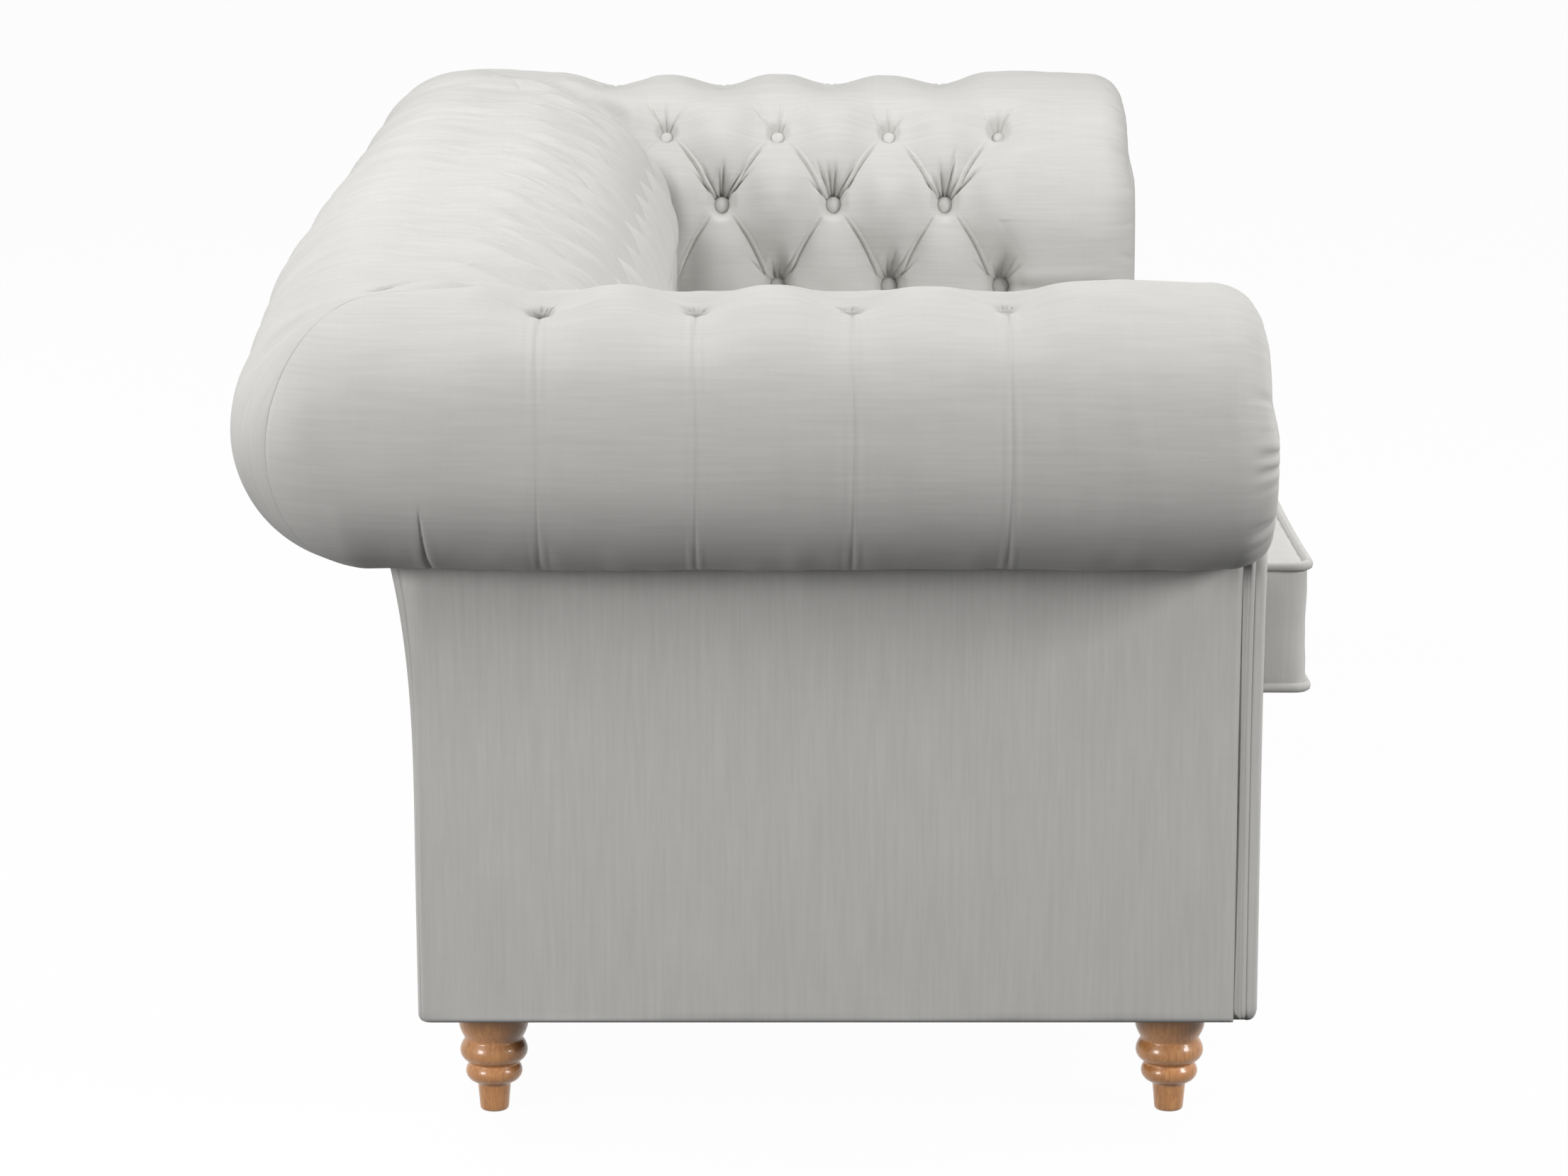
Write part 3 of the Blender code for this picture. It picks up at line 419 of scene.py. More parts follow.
# Covers of the arms and back, as rows of points along the section
covers = {
    "rollStep": 0.0030,
    "buttonStep": 0.0012,
    "seatStep": 0.0060,
    "alongStep": 0.0013,
    "backStep": 0.0022,
    "pleatStep": 0.0012,       # closer lines beside the roll pleats
    "cornerZone": 0.285,       # lines close up towards the mitre from here on
    "rimForward": 0.038,       # how far the stuffed front edge reaches round, and how far in
    "rimIn": 0.026,
    "rimProud": -0.0005,       # front edge of the roll ahead of the facing
    "rimLean": 0.0085,         # the top of the front edge lies further back
    "backSwell": 0.026,        # the filling of the back roll stands out between the corners
    "cornerSwell": {-1: -0.25, 1: 0.9},   # share of that at the left and right corner seams
    "cornerTuck": 0.004,       # the corners are pulled in low on the outside
    "seamLap": 0.0015,         # an arm cover laps under the back cover at the outer corner
    "lining": 0.0375,          # inner face of the cover, under the envelope
    "frontCrown": 0.004,       # the crown of an arm is fullest just behind its front edge
    "seamCrease": 0.0004,
    # single folds as depth, place and width: foremost pleat of an arm, dart under the corner, corner fold
    "frontPleat": ((0.0045, 0.0, 0.007), (-0.0015, 0.016, 0.008)),
    "dart": ((0.0020, 0.0, 0.0010), (-0.0004, 0.006, 0.004)),
    "cornerFold": ((0.003, 0.0, 0.007),),
    "dartLine": (0.050, -0.285, 0.056),      # along and down at its start, along at its end
    # short folds laid over to one side where the back is tied down: depth, width on each side, length
    "sideFold": (0.009, 0.014, 0.0022, 0.016),
    # uneven filling, and fine puckers across the top of the back
    "armUneven": ((0.0014, 0.07, 0.10, 3), (0.0005, 0.017, 0.07, 4)),
    "backUneven": ((0.0014, 0.07, 0.10, 5),),
    "puckers": ((0.0044, 0.028, 0.12, 31), (0.0012, 0.010, 0.05, 32)),
    # gathers round the front edge of an arm, and tight tucks at the outside of the scroll
    "gathers": 17,
    "gatherDepth": 0.0032,
    "tucks": (-0.246, -0.262, -0.330),
    "tuckDepth": 0.0055,
}


# How each cover is tufted: depth of its pleats, strength of its folds, how far the puffs stand out,
# wave: how far the roll dips along its pleats, topBand: pleat strength above the first row, at top and foot,
# topRow and topPull: where the tufts of the top row are and how hard they are tied, in turn from the corner,
# rollPleat: folds over the roll, crownFade: how soon the dips of the top edge end on the inside,
# hollows: depth, width, reach up and reach down by row, gathers: length and strength by row
tufts = {
    "arm": {
        "columns": armColumns, "pitch": buttoning["pitch"], "seed": 11,
        "pleatDepth": 0.016, "lap": 0.85, "loft": 0.002, "wave": 0.0007, "topBand": (0.0, 0.55),
        "topRow": rowPlaces[0], "topPull": (1.0, 0.72, 0.65, 0.6), "buttonRise": 0.0012,
        "rollPleat": ((0.0011, 0.0, 0.0017), (-0.0004, 0.0048, 0.0022), (0.0003, 0.0092, 0.0024)),
        "crownFade": 0.1,
        "hollows": ((0.028, 0.019, 0.045, 0.013), (0.029, 0.018, 0.026, 0.024),
                    (0.036, 0.021, 0.048, 0.030), (0.036, 0.024, 0.054, 0.030)),
        "gathers": ((0.026, 0.9), (0.054, 0.7), (0.070, 1.5), (0.050, 1.0)),
    },
    "back": {
        "columns": backColumns, "pitch": backPitch, "seed": 21,
        "pleatDepth": 0.007, "lap": 0.45, "loft": 0.008, "wave": 0.0105, "topBand": (0.35, 0.30),
        "topRow": 0.0, "topPull": (1.0, 1.0, 1.0, 1.0), "buttonRise": -0.0004,
        "rollPleat": ((0.00396, 0.0, 0.0051), (-0.0004, 0.0144, 0.0022), (0.0003, 0.0276, 0.0024)),
        "crownFade": 0.6,
        "hollows": ((0.004, 0.010, 0.010, 0.022), (0.011, 0.025, 0.034, 0.028),
                    (0.017, 0.025, 0.040, 0.028), (0.024, 0.024, 0.044, 0.028)),
        "gathers": ((0.030, 0.0), (0.042, 0.1), (0.060, 0.3), (0.044, 0.4)),
    },
}


def sectionRows():
    marks = [(vUnder, -0.09, covers["rollStep"]), (-0.09, 0.362, covers["buttonStep"]),
             (0.362, vSeat, covers["seatStep"])]
    rows = [np.linspace(low, high, int((high - low) / step) + 1)[:-1] for low, high, step in marks]
    return np.concatenate(rows + [np.array([vSeat])])


def alongLines(length, pleats, step):  # even lines, closer together beside each pleat
    lines = list(np.arange(0, length, step))
    for spot in pleats:
        lines = [s for s in lines if abs(s - spot) > 6.4 * covers["pleatStep"]]
        lines += [spot + n * covers["pleatStep"] for n in range(-6, 7)]
    lines = sorted(s for s in lines if 0 <= s < length - 0.001)
    return np.array(lines + [length])


def mitreDepth(v):
    return buttoning["mitreDepth"] * ease(-0.05, 0.06, v)


def swellAt(v):  # fullness of the roll, most at its upper outside
    return covers["backSwell"] * np.cos(math.pi / 2 * np.clip((v + 0.18) / 0.16, -1, 1)) ** 2


def cornerTuck(v, toSeam):
    low = ease(0.20, 0.36, -v) * (1 - ease(0.38, 0.43, -v))
    return covers["cornerTuck"] * low * (1 - ease(0.0, 0.22, toSeam))


def cornerTurn(beyond, arc, endRun):  # how far round the outer corner each point lies
    turn = np.clip(beyond, 0, None) / np.maximum(-endRun, 1e-9)[:, None]
    return np.where(arc[:, None] > 1e-9, turn, 0.0)


def closedUp(lines, zone, lengths):  # the same lines on every row, closed up to fit the row's own length
    full = lines[-1]
    late = zone + (lines[None, :] - zone) * ((lengths - zone) / (full - zone))[:, None]
    return np.where(lines[None, :] <= zone, lines[None, :], late)


def frontGathers(v, forward):  # they run in round the front edge of an arm to its facing
    count = covers["gathers"]
    shuffle = np.random.default_rng(7)
    spots = np.linspace(vUnder + 0.04, 0.30, count) + shuffle.normal(0, 0.006, count)
    sizes, slants = shuffle.uniform(0.35, 1.0, count), shuffle.normal(0, 0.006, count)
    gathers = np.zeros(v.shape)
    for spot, size, slant in zip(spots, sizes * covers["gatherDepth"], slants):
        gathers += size * crease(v - spot - slant * forward, 0.0042 + 0.004 * (1 - forward))
    for spot in covers["tucks"]:
        gathers += covers["tuckDepth"] * crease(v - spot, 0.0034 + 0.004 * (1 - forward))
    return gathers


def armCover(name, side):
    v = sectionRows()
    run, z, normalRun, normalZ = scrollAt(v)
    endRun = run - mitreDepth(v) * normalRun
    rimBack = armFront - covers["rimProud"] + covers["rimForward"]
    straight = backY - sofa["seam"] - np.maximum(endRun, 0) - rimBack
    arc = np.maximum(-endRun, 0) * math.pi / 4
    lap = covers["seamLap"] * ease(0.02, 0.06, arc)
    arc = arc + lap
    plainLength = backY - rimBack
    dartFrom, dartDown, dartTo = covers["dartLine"]
    pleats = [plainLength - w for w in armColumns(0) + [(dartFrom + dartTo) / 2] if w > 0]
    lines = alongLines(float((straight + arc).max()), pleats, covers["alongStep"])
    along = closedUp(lines, plainLength - covers["cornerZone"], straight + arc)
    turn = cornerTurn(along - straight[:, None], arc, endRun)
    y = rimBack + np.minimum(along, straight[:, None])
    rimTurn = np.radians(np.linspace(-30, 90, 19)[:-1])    # the stuffed front edge, from the facing outwards
    rimY = np.broadcast_to(rimBack - covers["rimForward"] * np.cos(rimTurn), (len(v), len(rimTurn)))
    toSeam = np.hstack([np.full(rimY.shape, 1.0), np.abs((straight + arc - lap)[:, None] - along)])
    turn = np.hstack([np.zeros(rimY.shape), turn])
    y = np.hstack([rimY, y])
    rimDrop = np.concatenate([covers["rimIn"] * (1 - np.sin(rimTurn)), np.zeros(along.shape[1])])
    rimPath = np.concatenate([np.degrees(rimTurn), np.full(along.shape[1], 90.0)])
    w = backY - y - turn * np.maximum(-endRun, 0)[:, None]
    vv = np.broadcast_to(v[:, None], w.shape)
    depth = buttonedDepth(w, vv, tufts["arm"])
    # the pleat from the foremost low button to the front edge, the dart under the corner, the corner fold
    foremost = armColumns(len(rowPlaces) - 1)[-1]
    distance, part = lineDistance(w, vv, (foremost, rowPlaces[-1], armLength, rowPlaces[-1] - 0.006))
    depth += folds(distance, covers["frontPleat"]) * (1 - 0.7 * part)
    distance, part = lineDistance(w, vv, (dartFrom, dartDown, dartTo, vUnder))
    depth += folds(distance, covers["dart"]) * ease(0, 0.15, part)
    distance, part = lineDistance(w, vv, (buttoning["cornerButton"], rowPlaces[0], 0.0, -0.06))
    depth += folds(distance, covers["cornerFold"]) * (1 - part)
    depth += uneven(w, vv, covers["armUneven"]) * ease(0.0, 0.06, toSeam)   # level where the covers meet
    depth -= swellAt(vv) * covers["cornerSwell"][side] * (1 - ease(0.0, 0.20, toSeam))
    depth += cornerTuck(vv, toSeam)
    depth *= ease(-0.01, 0.06, armLength - w)
    onCrown = ease(-0.16, -0.04, vv) * (1 - ease(0.0, 0.10, vv))
    depth -= covers["frontCrown"] * crease(armLength - 0.13 - w, 0.07) * onCrown
    forward = np.clip(rimBack - y, 0, None) / covers["rimForward"]
    gathers = frontGathers(vv, forward) * ease(0.25, 0.9, forward) * ease(-40, 0, rimPath)[None, :]
    depth = depth + rimDrop[None, :] + gathers
    y = y + rimLean(z)[:, None] * (1 - ease(0.02, 0.26, y - rimY[:, :1]))
    return finishCover(name, side, v, depth, toSeam, (y, turn), armPlace, (vv, w))     # warp along the roll


def rimLean(z):
    level = (z - rollZ) / sofa["rollRadius"]
    return covers["rimLean"] * (0.75 * ease(0.0, 0.35, level) + 0.25 * ease(0.8, 1.0, level))


def armPlace(side, run, z, y, turn):
    out = np.maximum(-run, 0)
    x = np.where(turn > 0, armX + out * np.cos(turn), armX - run)
    y = np.where(turn > 0, backY - sofa["seam"] + out * np.sin(turn), y)
    return np.stack([side * x, y, z], axis=-1)


def finishCover(name, side, v, depth, toSeam, place, placer, cloth):
    run, z, normalRun, normalZ = [values[:, None] for values in scrollAt(v)]
    inside = ease(-0.03, 0.03, v)[:, None]
    pull = 1 - ease(0.0, 0.040, toSeam)
    depth = depth * (1 - pull * inside) + mitreDepth(v)[:, None] * pull * inside
    depth = depth + covers["seamCrease"] * crease(toSeam, 0.0022) * (1 - ease(-0.22, -0.12, v))[:, None]
    outer = placer(side, run - depth * normalRun, z - depth * normalZ, *place)
    rows, columns = depth.shape
    # the edges turn in to the hems under the cover
    hem = np.maximum(covers["lining"], depth + 0.0005)
    lining = placer(side, run - hem * normalRun, z - hem * normalZ, *place)
    uv = np.stack(cloth, axis=-1).reshape(-1, 2)
    points = np.concatenate([outer.reshape(-1, 3), rimOf(lining)])
    faces = np.concatenate([gridFaces(rows, columns), rimFaces(rows, columns)])
    cover = makeMesh(name, points, faces, clothMaterial, np.concatenate([uv, uv[rimIndex(rows, columns)]]))
    cover.data.polygons.foreach_set("use_smooth", np.arange(len(faces)) < (rows - 1) * (columns - 1))
    crown = int(np.argmin(np.abs(v + 0.03))) * (columns - 1) + columns // 2
    if cover.data.polygons[crown].normal.z < 0:
        cover.data.flip_normals()
    return cover


def backCover(name):
    v = sectionRows()
    run, z, normalRun, normalZ = scrollAt(v)
    endRun = run - mitreDepth(v) * normalRun
    half = armX - sofa["seam"] - np.maximum(endRun, 0)
    arc = np.maximum(-endRun, 0) * math.pi / 4
    pleats = [x for x in backColumns(0) if 0 <= x < armX]
    lines = alongLines(float((half + arc).max()), pleats, covers["backStep"])
    rightHalf = closedUp(lines, armX - covers["cornerZone"], half + arc)
    along = np.hstack([-rightHalf[:, :0:-1], rightHalf])
    turn = cornerTurn(np.abs(along) - half[:, None], arc, endRun)
    x = np.clip(along, -half[:, None], half[:, None])
    w = x + np.sign(along) * turn * np.maximum(-endRun, 0)[:, None]
    vv = np.broadcast_to(v[:, None], w.shape)
    toSeam = (half + arc)[:, None] - np.abs(along)
    depth = buttonedDepth(w, vv, tufts["back"])
    top = tufts["back"]["topRow"]
    deep, wide, narrow, long = covers["sideFold"]
    for spot in backColumns(0):
        depth += deep * crease(w - spot, np.where(w < spot, wide, narrow)) * crease(vv - top, long)
    first = armX - buttoning["cornerButton"]
    for side in (-1, 1):  # folds from the end buttons into the corners
        distance, part = lineDistance(w, vv, (side * first, top, side * (armX - 0.035), -0.052))
        ends = (1 - 0.8 * crease(part - 0.5, 0.12)) * ease(0.0, 0.15, part)
        depth += (0.005 - 0.002 * side) * crease(distance, 0.0040) * ends
    topBand = ease(-0.28, -0.10, vv) * (1 - ease(0.08, 0.14, vv))
    slanted = w + 0.7 * np.clip(vv, 0, None)
    puckers = topBand * uneven(slanted, vv, covers["puckers"])
    depth += (puckers + uneven(w, vv, covers["backUneven"])) * ease(0.0, 0.06, toSeam)
    toLeft, toRight = (half + arc)[:, None] + along, (half + arc)[:, None] - along
    fuller = 1 - (1 - np.clip(toLeft / 0.9, 0, 1)) ** 2     # fills out slowly from the left corner
    corner = covers["cornerSwell"]
    fromLeft = corner[-1] + (1 - corner[-1]) * fuller
    fromRight = corner[1] + (1 - corner[1]) * ease(0.0, 0.30, toRight)
    depth -= swellAt(vv) * np.minimum(fromLeft, fromRight)
    depth += cornerTuck(vv, toSeam)
    return finishCover(name, 1, v, depth, toSeam, (x, turn), backPlace, (w, vv))      # warp across the roll


def backPlace(side, run, z, x, turn):
    out = np.maximum(-run, 0)
    reach = np.where(turn > 0, np.sign(x) * (armX - sofa["seam"] + out * np.sin(turn)), x)
    y = np.where(turn > 0, backY + out * np.cos(turn), backY - run)
    return np.stack([reach, y, z], axis=-1)


def coverButtons(name, places):  # cloth-covered domes with a tucked rim
    profile = [(0.0, 0.0050), (0.30, 0.0048), (0.58, 0.0042), (0.80, 0.0031), (0.94, 0.0014), (1.0, -0.0006),
               (0.97, -0.0024), (0.86, -0.0040)]
    sides = 28
    points, quads, caps, uv = [], [], [], []
    for spot, normal in places:
        across = normal.orthogonal().normalized()
        up = normal.cross(across)
        start = len(points)
        for radius, height in profile:
            for n in range(sides):
                angle = 2 * math.pi * n / sides
                flat = (across * math.cos(angle) + up * math.sin(angle)) * max(radius, 0.01)
                flat *= buttoning["buttonRadius"]
                points.append(spot + flat + normal * height)
                uv.append((flat.dot(across) + spot.x + spot.y, flat.dot(up) + spot.z))
        quads.append(gridFaces(len(profile), sides, start, closed=True))
        caps += endCaps(len(profile), sides, start)
    buttons = makeMesh(name, points, np.concatenate(quads), clothMaterial, uv, caps)
    faceOut(buttons)
    return buttons


def buttonPlaces(tufting, visible, placer, side):
    places = []
    for row, v in list(enumerate(rowPlaces))[1:]:     # the top row is tied down without buttons
        run, z, normalRun, normalZ = [float(value) for value in scrollAt(v)]
        deep = tufting["hollows"][row][0] - tufting["buttonRise"]
        for w in tufting["columns"](row):
            if visible(w, run):
                along = backY - w if placer is armPlace else w
                spot, tip = [Vector(placer(side, run - depth * normalRun, z - depth * normalZ, along, 0))
                             for depth in (deep, deep - 0.01)]
                places.append((spot, (tip - spot).normalized()))
    return places


hands = ((1, "right"), (-1, "left"))
for side, hand in hands:
    upholster(armCover("armCover_" + hand, side), "frame", 0.9, "arm_cover_" + hand)
    places = buttonPlaces(tufts["arm"], lambda w, run: w - run > 0.02, armPlace, side)
    upholster(coverButtons("armButtons_" + hand, places), "frame", 0)
upholster(backCover("backCover"), "frame", 0.9, "back_cover")
places = buttonPlaces(tufts["back"], lambda w, run: armX - run - abs(w) > 0.02, backPlace, 1)
upholster(coverButtons("backButtons", places), "frame", 0)
print("buttoned covers made")


# Flat cloth pieces below the rolls: outside panels, facings, front border and their piping
panels = {
    "cornerRound": 0.011,     # upright rear corners
    "footRound": 0.006,       # where the cloth turns under the base
    "thick": 0.0075,
    "fullness": 0.0015,       # how far the wadding lifts the cloth
    "ripple": 0.0007,
    "topZ": 0.536,
    "rows": 72,               # down the outside of a panel
    "armLines": 150,
    "backLines": 190,         # along half of the back
    "seamGap": 0.0002,        # between two panels at a corner
    "footCorner": 0.014,
    "facingInset": 0.0420,    # edge of a facing inside the envelope of the roll
    "pipingRadius": 0.0030,
    "pipingInset": 0.0008,
    "pipingBehind": 0.0125,   # behind the arm's front
    "pipingFoot": 0.0035,     # its start above the base
    "pipingSeat": 0.004,      # its end above the seat
}
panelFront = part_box("outside_arm_panel_right")[0].y


def panelRun(z):
    share = np.clip((z - sofa["panelBendZ"]) / (rollZ - sofa["rollRadius"] - sofa["panelBendZ"]), 0, 1)
    return sofa["panelRun"] - sofa["panelFlare"] * share ** 3


def readMesh(items, what, kind=float, width=3):
    values = np.empty(len(items) * width, kind)
    items.foreach_get(what, values)
    return values.reshape(-1, width) if width > 1 else values


def clothUv(piece):  # lays the weave in metres on whichever way each face looks
    mesh = piece.data
    layer = mesh.uv_layers.get("cloth") or mesh.uv_layers.new(name="cloth")
    spots = readMesh(mesh.vertices, "co")[readMesh(mesh.loops, "vertex_index", int, 1)]
    sizes = readMesh(mesh.polygons, "loop_total", int, 1)
    facing = np.repeat(np.abs(readMesh(mesh.polygons, "normal")).argmax(axis=1), sizes)
    pick = np.array([[1, 2], [0, 2], [0, 1]])[facing]
    uv = np.take_along_axis(spots, pick, axis=1) + facing[:, None] * 0.37
    layer.data.foreach_set("uv", uv.ravel())


def clothPiece(name, points, quads, caps=()):
    piece = makeMesh(name, points, quads, clothMaterial, caps=caps)
    faceOut(piece)
    clothUv(piece)
    return piece


def sweptPanel(name, path, normals, along):
    # section from the tucked top edge down the outside, round the foot and up the inside
    z = np.linspace(panels["topZ"], sofa["legHeight"] + panels["footRound"], panels["rows"])
    out = sofa["panelRun"] - panelRun(z)
    turn = np.linspace(0, math.pi / 2, 6)[1:]
    inside = -panels["thick"]
    z = np.concatenate([z, sofa["legHeight"] + panels["footRound"] * (1 - np.sin(turn)),
                        [sofa["legHeight"] + 0.0002, sofa["panelBendZ"], 0.44, panels["topZ"]]])
    out = np.concatenate([out, -panels["footRound"] * (1 - np.cos(turn)),
                          [inside, inside, inside + sofa["panelFlare"] * 0.45, inside + sofa["panelFlare"]]])
    soft = np.where(np.arange(len(z)) < panels["rows"], 1.0, 0.0)
    level = np.clip((z - sofa["legHeight"]) / (panels["topZ"] - sofa["legHeight"]), 0, 1)
    lift = panels["fullness"] * np.sin(math.pi * level) * soft
    along = along[:, None]
    ripple = panels["ripple"] * soft * softNoise(along / 0.05 + 0 * z, 0 * along + z / 0.35 + 9, 41)
    reach = out + lift + ripple
    points = np.stack([path[:, :1] + normals[:, :1] * reach, path[:, 1:] + normals[:, 1:] * reach,
                       np.broadcast_to(z, reach.shape)], axis=-1)
    return clothPiece(name, points, gridFaces(len(path), len(z), closed=True), endCaps(len(path), len(z)))


def panelPath(start, end, wall, count):  # a straight run and half of a round corner, as (along, out)
    r = panels["cornerRound"]
    turn = math.radians(45) * np.arange(1, 6) / 5
    turned = end - r + r * np.sin(turn) - panels["seamGap"]
    along = np.concatenate([np.linspace(start, end - r, count), turned])
    out = np.concatenate([np.full(count, wall), wall - r + r * np.cos(turn)])
    turn = np.concatenate([np.zeros(count), turn])
    return np.stack([along, out], axis=1), np.stack([np.sin(turn), np.cos(turn)], axis=1)


wallX, wallY = armX - sofa["panelRun"], backY - sofa["panelRun"]
for side, hand in hands:
    lines = panelPath(panelFront, wallY, wallX, panels["armLines"])
    path, normals = [line[:, ::-1] * [side, 1] for line in lines]
    panel = sweptPanel("outsideArmPanel_" + hand, path, normals, path[:, 1])
    upholster(panel, "frame", 0.95, "outside_arm_panel_" + hand)
halves = panelPath(0, wallX, wallY, panels["backLines"])
path, normals = [np.concatenate([half[:0:-1] * [-1, 1], half]) for half in halves]
panel = sweptPanel("outsideBackPanel", path, normals, path[:, 0])
upholster(panel, "frame", 0.95, "outside_back_panel")
print("outside panels made")


def facingOutline():  # scroll-shaped arm front, level with the panel below the roll, as (run, z)
    depth, foot, floorZ = panels["facingInset"], panels["footCorner"], sofa["legHeight"]
    radius, shoulder = sofa["rollRadius"] - depth, sofa["shoulderRadius"] - depth
    start = math.pi + math.asin(flaredRun / radius)
    line = [(sofa["panelRun"] + foot * (1 - math.sin(t)), floorZ + foot * (1 - math.cos(t)))
            for t in np.linspace(0, math.pi / 2, 9)]
    line += [(float(panelRun(z)), z) for z in np.linspace(floorZ + foot, 0.565, 60)[1:-1]]
    line += [(-radius * math.sin(t), rollZ + radius * math.cos(t)) for t in np.linspace(start, 0, 70)]
    line += [(run, sofa["height"] - depth) for run in np.linspace(0, sofa["crownRun"], 10)[1:]]
    line += [(sofa["crownRun"] + shoulder * math.sin(t), shoulderZ + shoulder * math.cos(t))
             for t in np.linspace(0, math.pi / 2, 30)[1:]]
    line += [(innerRun - depth, z) for z in np.linspace(shoulderZ, floorZ + 0.003, 60)[1:]]
    line += [(run, floorZ) for run in np.linspace(innerRun - depth - 0.003, sofa["panelRun"] + foot, 24)[:-1]]
    return np.array(line)


def evenLine(line, step):  # closed line with points an even step apart
    line = np.asarray(line, float)
    line = np.vstack([line, line[:1]])
    lengths = np.concatenate([[0], np.cumsum(np.linalg.norm(np.diff(line, axis=0), axis=1))])
    marks = np.linspace(0, lengths[-1], max(int(lengths[-1] / step), 8) + 1)
    return np.stack([np.interp(marks, lengths, line[:, n]) for n in range(line.shape[1])], axis=1)[:-1]


def shrunk(line, amount):  # the closed outline moved inwards, kept smooth
    ahead, behind = np.roll(line, -1, axis=0), np.roll(line, 1, axis=0)
    tangent = ahead - behind
    tangent /= np.linalg.norm(tangent, axis=1)[:, None]
    area = np.sum(line[:, 0] * ahead[:, 1] - line[:, 1] * ahead[:, 0])
    inward = np.stack([-tangent[:, 1], tangent[:, 0]], axis=1) * (1 if area > 0 else -1)
    return line + inward * amount


def fillInside(loop, rings, spacing):  # points inside a closed line, and triangles over them and the line
    spans = [np.arange(loop[:, n].min(), loop[:, n].max(), spacing) for n in (0, 1)]
    grid = np.array([(x, y) for x in spans[0] for y in spans[1]])
    inner = np.vstack([shrunk(loop, ring) for ring in rings] + [grid])
    clear = np.concatenate([np.repeat(np.array(rings) * 0.9, len(loop)),
                            np.full(len(grid), rings[-1] + spacing * 0.6)])
    way = np.roll(loop, -1, axis=0) - loop
    gap = inner[:, None, :] - loop[None, :, :]
    share = np.clip((gap * way).sum(axis=2) / (way ** 2).sum(axis=1), 0, 1)
    toLine = np.linalg.norm(gap - share[:, :, None] * way, axis=2).min(axis=1)
    above = gap[:, :, 1] < 0
    level = np.where(np.abs(way[:, 1]) < 1e-12, 1e-12, way[:, 1])
    crossing = (above != np.roll(above, -1, axis=1)) & (gap[:, :, 0] < gap[:, :, 1] / level * way[:, 0])
    keep = (crossing.sum(axis=1) % 2 == 1) & (toLine >= clear)
    inner, toLine = inner[keep], toLine[keep]
    count = len(loop)
    spots = [Vector(p) for p in np.vstack([loop, inner])]
    edges = [(n, (n + 1) % count) for n in range(count)]
    laid = delaunay_2d_cdt(spots, edges, [list(range(count))], 1, 1e-7)
    triangles = [[laid[3][corner][0] for corner in face] for face in laid[2]]
    return inner, toLine, triangles


def tube(line, radius, closed=True, sides=10):  # piping cord covered in the same cloth
    line = np.asarray(line, float)
    ahead, behind = np.roll(line, -1, axis=0), np.roll(line, 1, axis=0)
    if not closed:
        ahead[-1], behind[0] = line[-1], line[0]
    tangent = ahead - behind
    tangent /= np.linalg.norm(tangent, axis=1)[:, None]
    up = np.zeros_like(tangent)
    up[:, np.abs(tangent).max(axis=0).argmin()] = 1.0
    across = np.cross(tangent, up)
    across /= np.linalg.norm(across, axis=1)[:, None]
    up = np.cross(across, tangent)
    angles = 2 * math.pi * np.arange(sides) / sides
    points = line[:, None, :] + radius * (across[:, None, :] * np.cos(angles)[None, :, None]
                                          + up[:, None, :] * np.sin(angles)[None, :, None])
    faces = gridFaces(len(line) + (1 if closed else 0), sides, closed=True) % (len(line) * sides)
    return points.reshape(-1, 3), faces, [] if closed else endCaps(len(line), sides)


def onArmFront(side, line, behind, lean=True):  # places run and z on an arm, so far behind its front
    y = armFront + behind + rimLean(line[:, 1]) * lean
    return np.stack([side * (armX - line[:, 0]), y, line[:, 1]], axis=1)


outline = evenLine(facingOutline(), 0.004)
# steps of a facing from its hidden back to its front edge, as inset and depth behind the arm's front,
# then its crown: distance in from the edge, and depth there
facingLevels = [(0.0005, 0.0200), (0.0005, 0.0100), (0.0000, 0.0070), (0.0006, 0.0040)]
facingCrown = ((0.0, 0.0016, 0.0044, 0.0084, 0.0154, 0.0254, 0.0394, 0.0554),
               (0.0040, 0.0014, -0.0004, -0.0016, -0.0024, -0.0030, -0.0034, -0.0036))
for side, hand in hands:
    loops = []
    for inset, step in facingLevels:
        loop = shrunk(outline, inset)
        loops.append(onArmFront(side, loop, step, step < 0.015))    # the hidden back is upright
    count = len(outline)
    last = (len(loops) - 1) * count
    inner, toLine, triangles = fillInside(loop, facingCrown[0][1:4], 0.010)
    loops.append(onArmFront(side, inner, np.interp(toLine, *facingCrown)))
    caps = [list(range(count))] + [[last + corner for corner in triangle] for triangle in triangles]
    faces = gridFaces(len(facingLevels), count, closed=True)
    facing = clothPiece("armFacing_" + hand, np.concatenate(loops), faces, caps)
    upholster(facing, "frame", 0.95, "arm_facing_" + hand)
    # piping starts under the base at the outside and ends at the seat
    seamLine = shrunk(outline, panels["pipingInset"])
    keep = seamLine[:, 1] > sofa["legHeight"] + panels["pipingFoot"]
    first = int(np.argmax(keep & ~np.roll(keep, 1)))
    seamLine = np.roll(seamLine, -first, axis=0)[:int(keep.sum())]
    seamLine = seamLine[(seamLine[:, 0] < 0.15) | (seamLine[:, 1] > sofa["seatZ"] + panels["pipingSeat"])]
    cord = onArmFront(side, seamLine, panels["pipingBehind"])
    piping = clothPiece("facingPiping_" + hand, *tube(cord, panels["pipingRadius"], closed=False))
    upholster(piping, "frame", 0)
print("arm facings and piping made")


